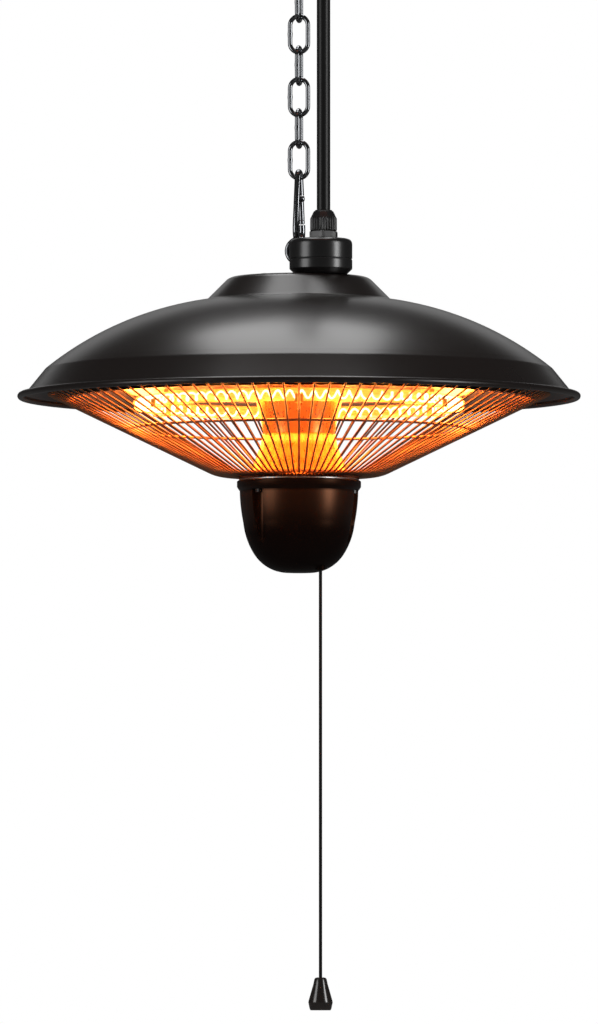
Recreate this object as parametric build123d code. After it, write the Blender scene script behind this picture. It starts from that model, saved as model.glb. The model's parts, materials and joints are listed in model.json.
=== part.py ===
from build123d import *
import os
from math import atan2, cos, degrees, pi, radians, sin, sqrt

# Hanging patio heater on a chain. Millimetres, +Z up, origin on the ceiling face above the chain.

# Ceiling fitting
rose_radius = 50.0
rose_depth = 20.0
rose_wall = 1.2
rose_corner = 4.0
rose_corner_bulge = 1.2
rose_plate_thickness = 2.5
rose_plate_gap = 0.3
ceiling_bolt_circle = 70.0
ceiling_bolt_hole = 5.0
ceiling_bolt_count = 4
hook_drop = 52.5
hook_wire = 5.0
hook_bend_radius = 8.0
hook_neck_turn = 45.0
hook_mouth = -195.0
hook_shank = 6.0
hook_nut_flats = 14.0
hook_nut_thickness = 8.0
cover_nut_radius = 8.0
cover_nut_thickness = 3.0

# Chain and snap hook
chain_twist = -12.0
link_count = 6
link_wire = 3.5
link_length = 31.0
link_width = 17.3
chain_play = 0.1
bar_share = 0.9
snap_wire = 5.0
snap_length = 60.0
snap_wide_radius = 11.5
snap_narrow_radius = 4.0
gate_hinge_height = 35.5
gate_latch_height = 15.8
gate_rod = 4.4
gate_gap = 0.4
gate_pin = 1.6
gate_cheek = 1.1
gate_play = 0.1

# Eye bolt in the cap
eye_wire = 3.8
eye_radius = 11.0
eye_height = 19.9
eye_neck = 7.0
eye_collar_radius = 7.5
eye_collar_thickness = 2.5
eye_thread = 8.0
eye_thread_length = 12.0

# Shade, one spun steel shell
dome_height = 91.0
brim_radius = 213.0
shade_wall = 1.0
cap_corner_radius = 52.5
cap_edge_fillet = 10.0
cap_foot_radius = 70.0
cap_foot_drop = 17.5
brim_width = 7.0
skirt_radius = brim_radius - brim_width
skirt_height = 5.4
skirt_lean = 14.0
crease_radius = skirt_radius - skirt_lean
crease_height = 21.0
dome_bulge = 9.2
skirt_bulge = 0.9
bead_size = 5.0
bead_rise = 0.6

# Round junction box and cable gland
box_x = 16.5
box_y = -28.0
box_radius = 23.7
box_foot_radius = 19.5
box_foot_height = 4.1
box_base_height = 11.0
box_height = 27.0
box_shoulder = 5.0
box_shoulder_bulge = 1.4
box_core = 4.0
box_wall = 2.0
box_seal_thickness = 0.8
box_seal_inset = 0.5
box_seal_width = 3.2
terminal_length = 24.0
terminal_width = 14.0
terminal_height = 7.0
cable_x = 18.5
cable_diameter = 10.2
cable_clearance = 0.2
cable_tail = 8.0
gland_flats = 20.0
gland_hex_height = 5.7
gland_thread = 16.0
gland_nut_radius = 10.1
gland_nut_height = 10.6
gland_rib_depth = 0.35
gland_shoulder_inset = 0.7
gland_rib_count = 30
gland_top_radius = 7.6
gland_top_height = 4.6
gland_top_bulge = 0.4
gland_seal_wall = 1.1
gland_seal_proud = 0.8
locknut_flats = 20.0
locknut_thickness = 2.5

# Heat unit under the shade
coupling_flats = 16.0
coupling_length = 26.0
tube_diameter = 10.0
tube_bore = 6.4
tube_engagement = 11.0
tube_fit = 0.05
tube_end = 4.0
reflector_height = 3.0
reflector_inset = 29.0
reflector_radius = skirt_radius - reflector_inset
reflector_bend = 9.0
reflector_bend_radius = reflector_radius - reflector_bend
reflector_rim_drop = 4.5
reflector_wall = 0.8
post_circle_radius = 40.0
post_flats = 8.0
post_azimuths = (-10.0, 110.0, 230.0)
screw_head_radius = 3.4
screw_head_height = 2.2
cap_screw_head_height = 1.0
screw_thread = 4.0
cap_screw_length = 12.0
reflector_screw_length = 8.0
lamp_radius = 120.5
lamp_drop = 5.0
lamp_tube = 10.0
lamp_glass = 1.0
lamp_gap_angle = 9.0
lamp_facets = 8
lamp_runs = 45
filament_count = 80
filament_swing = 2.6
filament_thickness = 0.8
filament_width = 0.9
end_cap_length = 16.0
end_cap_size = 13.0
clip_count = 5
clip_strip = 0.8
clip_width = 6.0
clip_gap = 0.3
column_top_radius = 34.0
column_waist_radius = 27.0
column_foot_radius = 39.0
column_waist_drop = 28.7
column_wall = 0.8
column_hollow = 0.8
plate_radius = 45.4
plate_thickness = 3.0
plate_drop = 60.4

# Wire guard
guard_wire = 1.6
guard_ring_wire = 3.0
guard_count = 100
guard_rim_inset = 16.0
guard_rim_radius = skirt_radius - guard_rim_inset
guard_rim_height = 2.3
guard_mid_share = 0.69
guard_mid_radius = guard_rim_radius * guard_mid_share
guard_bend_radius = 62.0
guard_end_radius = 41.5
guard_inner_wire = 2.0
guard_soft_share = 0.06
guard_flat_share = 0.3
guard_hub_radius = 43.5
guard_clip_width = 9.0
guard_clip_strip = 1.2
guard_clip_rise = 10.0
guard_clip_azimuths = (45.0, 135.0, 225.0, 315.0)

# Control bowl and pull switch
bowl_depth = 69.4
bowl_collar_radius = 46.9
bowl_collar_height = 7.6
bowl_collar_chamfer = 2.7
bowl_neck_radius = 44.8
bowl_neck_bulge = 0.5
bowl_waist_radius = 42.1
bowl_waist_depth = 31.9
bowl_waist_bulge = 1.3
bowl_hip_radius = 34.5
bowl_hip_depth = 54.5
bowl_hip_bulge = 2.1
bowl_foot_radius = 17.0
bowl_foot_rise = 1.1
bowl_base_radius = 13.6
bowl_core = 6.0
bowl_cavity_radius = 35.8
bowl_floor = 7.8
bowl_cavity_foot_radius = 26.4
bowl_cavity_taper = 17.0
channel_radius = 4.5
channel_circle_radius = 42.3
channel_azimuths = (-15.0, 105.0, 225.0)
bowl_screw_head = 3.0
bowl_screw_head_height = 2.4
bowl_screw_thread = 3.2
tube_nut_flats = 17.0
tube_nut_thickness = 6.0
cord_x = 16.2
cord_y = -14.0
cord_diameter = 2.5
cord_length = 309.6
bushing_radius = 3.6
bushing_flange_radius = 4.6
bushing_flange = 1.2
bushing_proud = 1.5
bushing_bore = 3.3
bushing_mouth = 5.4
bushing_mouth_depth = 2.5
pull_travel = 8.0
switch_length = 24.0
switch_width = 18.0
switch_height = 15.0
switch_ear_height = 10.0
switch_ear_width = 3.0
switch_ear_length = 7.0
arm_reach = 20.0
arm_overhang = 3.2
arm_width = 6.0
arm_thickness = 2.5
arm_slot = 3.6
arm_gap = 0.3
arm_rise = 6.0
switch_pin = 3.0
spring_radius = 2.6
knot_radius = 2.8
knot_end_share = 0.7
bell_length = 24.8
bell_top_radius = 4.5
bell_wide_radius = 9.2
bell_mouth_radius = 7.7
bell_wide_share = 0.75

# Cuts run this far past what they cut
overrun = 1.0

# Round forms are drawn in this many flats, and bent rings in runs of this many degrees
wide_flats = 60
round_flats = 48
drum_flats = 24
head_flats = 16
screw_flats = 12
bend_step = 30
first_run = bend_step / 2

# Levels down the chain
hook_bar_z = -hook_drop
link_reach = link_length - link_wire
first_link_top_z = hook_bar_z + (hook_wire + link_wire) / 2 + chain_play
link_pitch = link_reach - link_wire - chain_play
last_link_bar_z = first_link_top_z - link_reach - (link_count - 1) * link_pitch
snap_top_z = last_link_bar_z + (link_wire + snap_wire) / 2 + chain_play
snap_bar_z = snap_top_z - (snap_length - snap_wire)
eye_ring_radius = eye_radius - eye_wire / 2
eye_z = snap_bar_z + (snap_wire + eye_wire) / 2 + chain_play - eye_ring_radius

# The heater is drawn from its brim plane, and hangs with its cap this far below the ceiling
cap_z = eye_z - eye_height
brim_z = cap_z - dome_height


def hung(shape):
    """The shape, drawn from the brim plane, at its height under the ceiling."""
    return shape.moved(Location((0, 0, brim_z)))


def twisted(shape):
    """The shape turned with the chain."""
    return shape.rotate(Axis.Z, chain_twist)


def around(shape, azimuths):
    """Copies of a shape drawn on +X, turned about Z."""
    return Compound([shape.rotate(Axis.Z, a) for a in azimuths])


def disc(radius, low, high, x=0, y=0):
    """A round bar between two heights."""
    return Pos(x, y, low) * extrude(Circle(radius), high - low)


def hexagon(flats, low, high, x=0, y=0):
    """A hexagon bar between two heights, by its width across flats."""
    return Pos(x, y, low) * extrude(RegularPolygon(flats / 2, 6, major_radius=False), high - low)


def block(size, centre):
    """A rectangular block about its centre."""
    return Pos(*centre) * Box(*size)


def drum(radius, low, high, x=0, y=0, sides=drum_flats):
    """A bar of many flats between two heights, by its width across flats."""
    return Pos(x, y, low) * extrude(RegularPolygon(radius, sides, major_radius=False, rotation=180 / sides), high - low)


def outline(points):
    """The face inside a closed outline of radius and height."""
    return make_face(Polyline(*[(r, 0, z) for r, z in points], close=True))


def spun(profile, sides):
    """A profile that stays clear of the axis, carried round Z in many flats."""
    reach = profile.bounding_box().max.X
    path = RegularPolygon(reach, sides, major_radius=False, rotation=180 / sides).wire()
    return sweep(profile, path=path, transition=Transition.RIGHT)


def chords(start, end, bulge, count):
    """Points from start to end on a shallow curve that stands out by the bulge at its middle."""
    span = Vector(*end) - Vector(*start)
    out = Vector(-span.Y, span.X, 0).normalized() * bulge
    shares = [i / count for i in range(count + 1)]
    places = [Vector(*start) + span * s + out * (4 * s * (1 - s)) for s in shares]
    return [(place.X, place.Y) for place in places]


def wire_form(points, diameter, sides=8):
    """A bent wire of many flats along straight runs with mitred bends."""
    start = Vector(*points[0])
    along = Vector(*points[1]) - start
    section = Plane(origin=start, z_dir=along.normalized()) * RegularPolygon(diameter / 2, sides)
    return sweep(section, path=Polyline(*points), transition=Transition.RIGHT)


def round_bar(start, end, diameter):
    """The round stretch of a bent wire that the next piece hangs on."""
    line = Vector(*end) - Vector(*start)
    return Plane(origin=start, z_dir=line.normalized()) * extrude(Circle(diameter / 2), line.length)


def bend(centre_x, centre_z, radius, start, end, steps):
    """Corner points of a bend in the XZ plane, whose runs touch the circle. Angles are in degrees."""
    step = (end - start) / steps
    reach = radius / cos(radians(step / 2))
    angles = [radians(start + i * step) for i in range(steps + 1)]
    return [(centre_x + reach * cos(a), 0, centre_z + reach * sin(a)) for a in angles]


def along(start, end, share):
    """The point at a share of the way between two points."""
    return tuple(a + (b - a) * share for a, b in zip(start, end))


# Ceiling fitting

def rose_plate():
    radius = rose_radius - rose_wall - rose_plate_gap
    plate = drum(radius, -rose_plate_thickness, 0, sides=round_flats)
    for place in PolarLocations(ceiling_bolt_circle / 2, ceiling_bolt_count):
        plate -= Pos(place.position) * disc(ceiling_bolt_hole / 2, -rose_plate_thickness - overrun, overrun)
    return plate - drum(cable_diameter, -rose_plate_thickness - overrun, overrun, cable_x, box_y)


def rose_cover():
    middle = hook_shank / 2 + rose_plate_gap
    corner = chords((rose_radius - rose_corner, -rose_depth), (rose_radius, rose_corner - rose_depth), -rose_corner_bulge, 3)
    inside = [(r - rose_wall, z + rose_wall) for r, z in corner]
    floor = -rose_depth + rose_wall
    cover = spun(outline([
        (middle, -rose_depth),
        *corner,
        (rose_radius, 0),
        (rose_radius - rose_wall, 0),
        *reversed(inside),
        (middle, floor),
    ]), round_flats)
    return cover - drum(gland_thread / 2, -rose_depth - overrun, 0, cable_x, box_y)


def ceiling_hook():
    centre_z = hook_bar_z + hook_bend_radius
    turn = radians(hook_neck_turn)
    neck_radius = hook_bend_radius * cos(turn) / (1 - cos(turn))
    neck_z = centre_z + (hook_bend_radius + neck_radius) * sin(turn)
    neck = [
        (neck_radius * (1 - cos(turn * i / 3)), 0, neck_z - neck_radius * sin(turn * i / 3))
        for i in range(3)
    ]
    ring = bend(0, centre_z, hook_bend_radius, hook_neck_turn, hook_mouth, 8)
    shank_foot = -rose_depth - cover_nut_thickness
    right = [(0, 0, shank_foot)] + neck + ring[:5]
    left = ring[5:]
    hook = wire_form(right, hook_wire) + wire_form(left, hook_wire)
    hook += round_bar(ring[4], ring[5], hook_wire * bar_share)
    hook += disc(hook_shank / 2, shank_foot, -rose_plate_thickness)
    return twisted(hook)


def hook_nut():
    low = -rose_plate_thickness - hook_nut_thickness
    nut = hexagon(hook_nut_flats, low, -rose_plate_thickness)
    return nut - disc(hook_shank / 2 + tube_fit, low - overrun, 0)


def cover_nut():
    low = -rose_depth - cover_nut_thickness
    nut = hexagon(2 * cover_nut_radius, low, -rose_depth)
    return nut - disc(hook_shank / 2 + tube_fit, low - overrun, 0)


def gland(face_z, up, thread_length):
    """Body and dome nut of a cable gland that stands on a face, pointing up or down."""
    def placed(shape):
        shape = shape if up else shape.mirror(Plane.XY)
        return shape.moved(Location((cable_x, box_y, face_z)))

    bore = cable_diameter / 2 + cable_clearance
    nut_top = gland_hex_height + gland_nut_height
    body = hexagon(gland_flats, 0, gland_hex_height)
    body += drum(gland_thread / 2, -thread_length, 0)
    body -= drum(bore, -thread_length - overrun, gland_hex_height + overrun)
    ribs = []
    for i in range(2 * gland_rib_count):
        angle = pi * i / gland_rib_count
        radius = gland_nut_radius - (i % 2) * gland_rib_depth
        ribs.append((radius * cos(angle), radius * sin(angle)))
    nut = Pos(0, 0, gland_hex_height) * extrude(make_face(Polyline(*ribs, close=True)), gland_nut_height)
    top = nut_top + gland_top_height
    lip = bore + gland_seal_wall
    nut -= drum(lip, gland_hex_height - overrun, nut_top + overrun)
    shoulder = (gland_nut_radius - gland_shoulder_inset, nut_top)
    dome = chords(shoulder, (gland_top_radius, top), gland_top_bulge, 2)
    nut += spun(outline([(lip, nut_top), *dome, (lip, top)]), drum_flats)
    seal = drum(lip, gland_hex_height, top + gland_seal_proud)
    seal -= drum(bore, gland_hex_height - overrun, top + gland_seal_proud + overrun)
    return placed(body), placed(nut), placed(seal)


def locknut(face_z, up):
    """Thin nut on the gland's thread, inside the wall it stands on."""
    nut = hexagon(locknut_flats, 0, locknut_thickness)
    nut -= drum(gland_thread / 2, -overrun, locknut_thickness + overrun)
    nut = nut if up else nut.mirror(Plane.XY)
    return nut.moved(Location((cable_x, box_y, face_z)))


# Chain links, made alike, each a quarter turn from the last

def chain_link(index):
    top = first_link_top_z - index * link_pitch
    bottom = top - link_reach
    radius = (link_width - link_wire) / 2
    lower = bend(0, bottom + radius, radius, first_run - 90, first_run, 3)
    upper = bend(0, top - radius, radius, -first_run, 180 + first_run, 7)
    last = bend(0, bottom + radius, radius, 180 - first_run, 270 - first_run, 3)
    link = wire_form(lower[:-1] + upper[1:-1] + last[1:], link_wire)
    link += round_bar(last[-1], lower[0], link_wire * bar_share)
    link = link if index % 2 else link.rotate(Axis.Z, 90)
    return twisted(link)


# Snap hook, a quarter turn from the last link

def snap_leg(height):
    """The middle of a straight leg at a height over the lower bar."""
    narrow_height = snap_length - snap_wire - snap_narrow_radius
    lean = (snap_wide_radius - snap_narrow_radius) / (narrow_height - snap_wide_radius)
    level = sqrt(1 - lean**2)
    return (snap_wide_radius - (height - snap_wide_radius) * lean) / level, 0, snap_bar_z + height


gate_knuckle = snap_leg(gate_hinge_height)
gate_tip = snap_leg(gate_latch_height)
gate_lean = atan2(gate_tip[0] - gate_knuckle[0], gate_knuckle[2] - gate_tip[2])
cheek_radius = gate_rod / 2
tongue_width = snap_wire - 2 * gate_cheek - 2 * gate_play


def at_knuckle(shape):
    """A piece drawn with the gate pin along Y at the origin and the gate hanging down."""
    return shape.rotate(Axis.Y, -degrees(gate_lean)).moved(Location(gate_knuckle))


def pin_bar(radius, width):
    """A round bar about the gate pin."""
    return (Pos(0, 0, -width / 2) * extrude(Circle(radius), width)).rotate(Axis.X, 90)


def snap_hook():
    wide_z = snap_bar_z + snap_wide_radius
    narrow_z = snap_top_z - snap_narrow_radius
    neck = cheek_radius + gate_gap
    lower = bend(0, wide_z, snap_wide_radius, first_run, first_run - 90, 3)
    last = bend(0, wide_z, snap_wide_radius, 270 - first_run, 180 - first_run, 3)
    upper = bend(0, narrow_z, snap_narrow_radius, 180, 0, 3)
    leg_end = along(gate_knuckle, upper[-1], neck / (upper[-1][2] - gate_knuckle[2]))
    body = wire_form([gate_tip] + lower[1:], snap_wire)
    body += wire_form(last[:-1] + upper + [leg_end], snap_wire)
    body += round_bar(lower[-1], last[0], snap_wire * bar_share)
    ears = pin_bar(cheek_radius, snap_wire)
    ears += Pos(0, 0, snap_wire / 2) * Box(2 * cheek_radius, snap_wire, snap_wire)
    ears -= Pos(0, 0, -cheek_radius / 2) * Box(snap_wire, snap_wire - 2 * gate_cheek, 2 * neck + cheek_radius)
    ears -= pin_bar(gate_pin / 2, 2 * snap_wire)
    return twisted((body + at_knuckle(ears)).rotate(Axis.Z, 90))


def snap_gate():
    neck = cheek_radius + gate_gap
    length = gate_hinge_height - gate_latch_height - gate_gap
    gate = Pos(0, 0, -length) * extrude(RegularPolygon(gate_rod / 2, 8), length - neck)
    gate += pin_bar(cheek_radius, tongue_width)
    gate += Pos(0, 0, -neck / 2) * Box(gate_rod * bar_share, tongue_width, neck + gate_gap)
    gate -= pin_bar(gate_pin / 2 + gate_play, 2 * snap_wire)
    return twisted(at_knuckle(gate).rotate(Axis.Z, 90))


def gate_rivet():
    return twisted(at_knuckle(pin_bar(gate_pin / 2, snap_wire)).rotate(Axis.Z, 90))


# Eye bolt through the cap, and the coupling nut under it

def eye_bolt():
    ring_z = dome_height + eye_height
    ring = bend(0, ring_z, eye_ring_radius, first_run - 90, 270 - first_run, 11)
    bolt = wire_form(ring, eye_wire)
    bolt += wire_form([ring[-1], ring[0]], eye_wire)
    bolt += drum(eye_neck / 2, dome_height, ring_z - eye_ring_radius)
    bolt += drum(eye_collar_radius, dome_height, dome_height + eye_collar_thickness)
    bolt += drum(eye_thread / 2, dome_height - eye_thread_length, dome_height)
    return twisted(bolt)


cap_underside = dome_height - shade_wall
coupling_foot = cap_underside - coupling_length
tube_top = coupling_foot + tube_engagement


def coupling_nut():
    nut = hexagon(coupling_flats, coupling_foot, cap_underside)
    nut -= disc(eye_thread / 2 + tube_fit, tube_top, dome_height)
    return nut - disc(tube_diameter / 2 + tube_fit, coupling_foot - overrun, tube_top + overrun)


# Shade

cap_corner = (cap_corner_radius, dome_height)
cap_foot = (cap_foot_radius, dome_height - cap_foot_drop)
crease = (crease_radius, crease_height)
skirt_foot = (skirt_radius, skirt_height)
bead_radius = bead_size / 2
bead_centre = (brim_radius - bead_radius, bead_rise)


def shade():
    fall = atan2(cap_corner[1] - cap_foot[1], cap_foot[0] - cap_corner[0])
    setback = cap_edge_fillet * sin(fall / 2) / cos(fall / 2)
    flat_end = (cap_corner_radius - setback, dome_height)
    slope_start = (cap_corner_radius + setback * cos(fall), dome_height - setback * sin(fall))
    skin = [
        (eye_thread / 2 + tube_fit, dome_height),
        *chords(flat_end, slope_start, cap_edge_fillet * (1 - cos(fall / 2)), 3),
        *chords(cap_foot, crease, dome_bulge, 7),
        *chords(crease, skirt_foot, skirt_bulge, 2)[1:],
        bead_centre,
    ]
    wire = Wire(Polyline(*[(r, 0, z) for r, z in skin]).edges())
    sheet = wire.offset_2d(-shade_wall, kind=Kind.INTERSECTION, side=Side.RIGHT, closed=True)
    bead = Plane.XZ * Pos(*bead_centre) * RegularPolygon(bead_radius, 8)
    shell = spun(make_face(sheet), wide_flats) + spun(bead, wide_flats)
    hole = drum(screw_thread / 2 + tube_fit, 0, dome_height + overrun, post_circle_radius, sides=screw_flats)
    for azimuth in post_azimuths:
        shell -= hole.rotate(Axis.Z, azimuth)
    return shell


# Junction box on the cap

box_top = dome_height + box_height
box_seam = dome_height + box_base_height


def junction_box_base():
    floor = dome_height + box_wall
    cup = spun(outline([
        (box_core, dome_height),
        (box_foot_radius, dome_height),
        (box_radius, dome_height + box_foot_height),
        (box_radius, box_seam),
        (box_radius - box_wall, box_seam),
        (box_radius - box_wall, dome_height + box_foot_height),
        (box_foot_radius - box_wall, floor),
        (box_core, floor),
    ]), round_flats)
    cup += drum(box_core, dome_height, floor, sides=round_flats)
    return cup.moved(Location((box_x, box_y, 0)))


def junction_box_seal():
    outer = box_radius - box_seal_inset
    seal = drum(outer, box_seam, box_seam + box_seal_thickness, box_x, box_y, round_flats)
    return seal - drum(outer - box_seal_width, 0, box_top, box_x, box_y, round_flats)


def junction_box_cover():
    low = box_seam + box_seal_thickness
    shoulder = chords((box_radius, box_top - box_shoulder), (box_radius - box_shoulder, box_top), -box_shoulder_bulge, 3)
    inside = [(r - box_wall, z - box_wall) for r, z in shoulder]
    cover = spun(outline([
        (box_core, box_top),
        (box_core, box_top - box_wall),
        *reversed(inside),
        (box_radius - box_wall, low),
        (box_radius, low),
        *shoulder,
    ]), round_flats)
    cover = cover.moved(Location((box_x, box_y, 0)))
    return cover - drum(gland_thread / 2, low, box_top + overrun, cable_x, box_y)


def terminal_block():
    floor = dome_height + box_wall
    return block((terminal_length, terminal_width, terminal_height), (box_x, box_y, floor + terminal_height / 2))


def cap_screws():
    """Pan-head screws through the cap into the posts under it."""
    head = drum(screw_head_radius, dome_height, dome_height + cap_screw_head_height, post_circle_radius, sides=head_flats)
    head += drum(screw_thread / 2, dome_height - cap_screw_length, dome_height, post_circle_radius, sides=screw_flats)
    return around(head, post_azimuths)


def mains_cable():
    low = dome_height + box_wall + terminal_height + cable_tail
    high = -brim_z - rose_plate_thickness - rose_wall
    return disc(cable_diameter / 2, low, high, cable_x, box_y)


# Heat unit: posts, reflector, ring lamp and column

reflector_back = reflector_height + reflector_wall


def frame_posts():
    post = hexagon(post_flats, reflector_back, cap_underside, post_circle_radius)
    thread = screw_thread / 2 + tube_fit
    post -= drum(thread, dome_height - cap_screw_length, dome_height, post_circle_radius, sides=screw_flats)
    post -= drum(thread, 0, reflector_back + cap_screw_length, post_circle_radius, sides=screw_flats)
    return around(post, post_azimuths)


def reflector():
    inner = tube_diameter / 2 + tube_fit
    rim = reflector_height - reflector_rim_drop
    dish = spun(outline([
        (inner, reflector_height),
        (reflector_bend_radius, reflector_height),
        (reflector_radius - reflector_wall, rim),
        (reflector_radius, rim),
        (reflector_bend_radius + reflector_wall / 2, reflector_back),
        (inner, reflector_back),
    ]), wide_flats)
    hole = drum(screw_thread / 2 + tube_fit, 0, reflector_back + overrun, post_circle_radius, sides=screw_flats)
    for azimuth in post_azimuths:
        dish -= hole.rotate(Axis.Z, azimuth)
    return dish


def reflector_screws():
    low = reflector_height - screw_head_height
    head = drum(screw_head_radius, low, reflector_height, post_circle_radius, sides=head_flats)
    head += drum(screw_thread / 2, reflector_height, reflector_height + reflector_screw_length, post_circle_radius, sides=screw_flats)
    return around(head, post_azimuths)


lamp_start = 90 + lamp_gap_angle
lamp_arc = 360 - 2 * lamp_gap_angle


def lamp_glass_tube():
    """The ring, in short straight runs."""
    step = lamp_arc / lamp_runs
    corner_radius = lamp_radius / cos(radians(step / 2))
    places = [(lamp_radius, lamp_start)]
    places += [(corner_radius, lamp_start + (i + 1 / 2) * step) for i in range(lamp_runs)]
    places.append((lamp_radius, lamp_start + lamp_arc))
    path = Polyline(*[(r * cos(radians(a)), r * sin(radians(a)), -lamp_drop) for r, a in places])
    plane = Plane(origin=path @ 0, z_dir=path % 0)
    outside = plane * RegularPolygon(lamp_tube / 2, lamp_facets)
    inside = plane * RegularPolygon(lamp_tube / 2 - lamp_glass, lamp_facets)
    return sweep(outside, path=path, transition=Transition.RIGHT) - sweep(inside, path=path, transition=Transition.RIGHT)


def filament():
    """The element as a flat ribbon folded to and fro round the lamp."""
    angles = [radians(lamp_start + lamp_arc * i / (2 * filament_count)) for i in range(2 * filament_count + 1)]
    swings = [filament_swing * (-1) ** i for i in range(len(angles))]
    inner, outer = [], []
    for angle, swing in zip(angles, swings):
        radius = lamp_radius + swing
        half = filament_width / 2
        inner.append(((radius - half) * cos(angle), (radius - half) * sin(angle)))
        outer.append(((radius + half) * cos(angle), (radius + half) * sin(angle)))
    ribbon = make_face(Polyline(*inner, *reversed(outer), close=True))
    return Pos(0, 0, -lamp_drop - filament_thickness / 2) * extrude(ribbon, filament_thickness)


def lamp_end_caps():
    """Ceramic blocks that hold the two ends of the ring, under the reflector."""
    top = reflector_height
    bottom = -lamp_drop - end_cap_size / 2
    caps = []
    for side in (-1, 1):
        centre = (side * end_cap_length / 2, lamp_radius, (top + bottom) / 2)
        cap = block((end_cap_length, end_cap_size, top - bottom), centre)
        caps.append(cap.rotate(Axis.Z, side * lamp_gap_angle))
    return Compound(caps)


def lamp_clips():
    """Bent strips from the reflector that carry the ring."""
    half = lamp_tube / 2 + clip_gap
    bottom = -lamp_drop - half
    foot = 2 * half
    outer = [
        (-half - foot, reflector_height),
        (-half, reflector_height),
        (-half, bottom),
        (half, bottom),
        (half, -lamp_drop),
    ]
    inner = [
        (half + clip_strip, -lamp_drop),
        (half + clip_strip, bottom - clip_strip),
        (-half - clip_strip, bottom - clip_strip),
        (-half - clip_strip, reflector_height - clip_strip),
        (-half - foot, reflector_height - clip_strip),
    ]
    strip = Plane.XZ * make_face(Polyline(*outer, *inner, close=True))
    clip = Pos(lamp_radius, clip_width / 2, 0) * extrude(strip, clip_width)
    turns = [90 + 360 * (i + 1) / (clip_count + 1) for i in range(clip_count)]
    return around(clip, turns)


column_waist_z = -column_waist_drop
plate_top = -plate_drop


def cone_shell(points):
    """A thin spun shell through points of outer radius and height."""
    inside = [(r - column_wall, z) for r, z in reversed(points)]
    return spun(outline(points + inside), round_flats)


def column_upper():
    top = (column_top_radius, reflector_height)
    waist = (column_waist_radius, column_waist_z)
    return cone_shell(chords(top, waist, -column_hollow, 2))


def column_lower():
    waist = (column_waist_radius, column_waist_z)
    foot = (column_foot_radius, plate_top)
    return cone_shell([waist, foot])


tube_low = plate_top - plate_thickness - tube_nut_thickness - tube_end


def centre_tube():
    tube = disc(tube_diameter / 2, tube_low, tube_top)
    return tube - disc(tube_bore / 2, tube_low - overrun, tube_top + overrun)


def tube_nut():
    high = plate_top - plate_thickness
    nut = hexagon(tube_nut_flats, high - tube_nut_thickness, high)
    return nut - drum(tube_diameter / 2 + tube_fit, tube_low, high + overrun)


def retaining_plate():
    low = plate_top - plate_thickness
    plate = drum(plate_radius, low, plate_top, sides=round_flats)
    plate -= drum(tube_diameter / 2 + tube_fit, low - overrun, 0)
    for azimuth in channel_azimuths:
        hole = drum(bowl_screw_thread / 2, low - overrun, plate_top + overrun, channel_circle_radius, sides=screw_flats)
        plate -= hole.rotate(Axis.Z, azimuth)
    return plate


# Wire guard, spot welded to its rings

guard_rim = (guard_rim_radius, 0, guard_rim_height)
guard_end = (guard_end_radius, 0, plate_top + guard_wire / 2)
guard_bend = (guard_bend_radius, 0, plate_top + guard_wire / 2)
guard_slope = atan2(guard_rim[2] - guard_bend[2], guard_rim[0] - guard_bend[0])


def guard_wires():
    soft = along(guard_bend, guard_rim, guard_soft_share)
    flat = along(guard_bend, guard_end, guard_flat_share)
    wire = wire_form([guard_rim, soft, flat, guard_end], guard_wire, 6)
    return around(wire, [360 * i / guard_count for i in range(guard_count)])


def ring_centre(radius, wire):
    """Where a ring lies that rests on the inside of the wires at a radius."""
    height = guard_rim[2] - (guard_rim[0] - radius) * sin(guard_slope) / cos(guard_slope)
    lift = (guard_wire + wire) / 2
    return radius - lift * sin(guard_slope), height + lift * cos(guard_slope)


def guard_ring(centre, wire, tilt=0.0):
    section = Plane.XZ * Pos(*centre) * RegularPolygon(wire / 2, 6, rotation=degrees(tilt))
    return spun(section, guard_count // 2)


rim_ring_centre = ring_centre(guard_rim_radius - guard_ring_wire, guard_ring_wire)


def guard_rim_ring():
    return guard_ring(rim_ring_centre, guard_ring_wire, guard_slope)


def guard_mid_ring():
    return guard_ring(ring_centre(guard_mid_radius, guard_inner_wire), guard_inner_wire, guard_slope)


def guard_hub_ring():
    return guard_ring((guard_hub_radius, plate_top + guard_wire + guard_inner_wire / 2), guard_inner_wire)


# Clips that hang the guard's rim ring from the shade

def guard_clips():
    """Bent strips that hook over the rim ring and stand against the skirt of the shade."""
    reach = guard_ring_wire / 2 + clip_gap
    hook_x = rim_ring_centre[0] - reach
    shelf = rim_ring_centre[1] + reach
    strip = guard_clip_strip
    slant = Vector(*crease) - Vector(*skirt_foot)
    inward = Vector(-slant.Y, slant.X, 0).normalized()

    def behind_skirt(depth, height):
        foot = Vector(*skirt_foot) + inward * depth
        return foot.X + (height - foot.Y) * slant.X / slant.Y, height

    near = shade_wall + clip_gap
    top = shelf + guard_clip_rise
    profile = outline([
        (hook_x - strip, rim_ring_centre[1]),
        (hook_x, rim_ring_centre[1]),
        (hook_x, shelf),
        behind_skirt(near, shelf),
        behind_skirt(near, top),
        behind_skirt(near + strip, top),
        behind_skirt(near + strip, shelf + strip),
        (hook_x - strip, shelf + strip),
    ])
    clip = Pos(0, guard_clip_width / 2, 0) * extrude(profile, guard_clip_width, dir=(0, -1, 0))
    return around(clip, guard_clip_azimuths)


# Control bowl, one moulding with three screw channels

bowl_top = plate_top - plate_thickness
bowl_bottom = bowl_top - bowl_depth
bowl_cavity_bottom = bowl_bottom + bowl_floor
channel_top = bowl_top - bowl_collar_height


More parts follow.
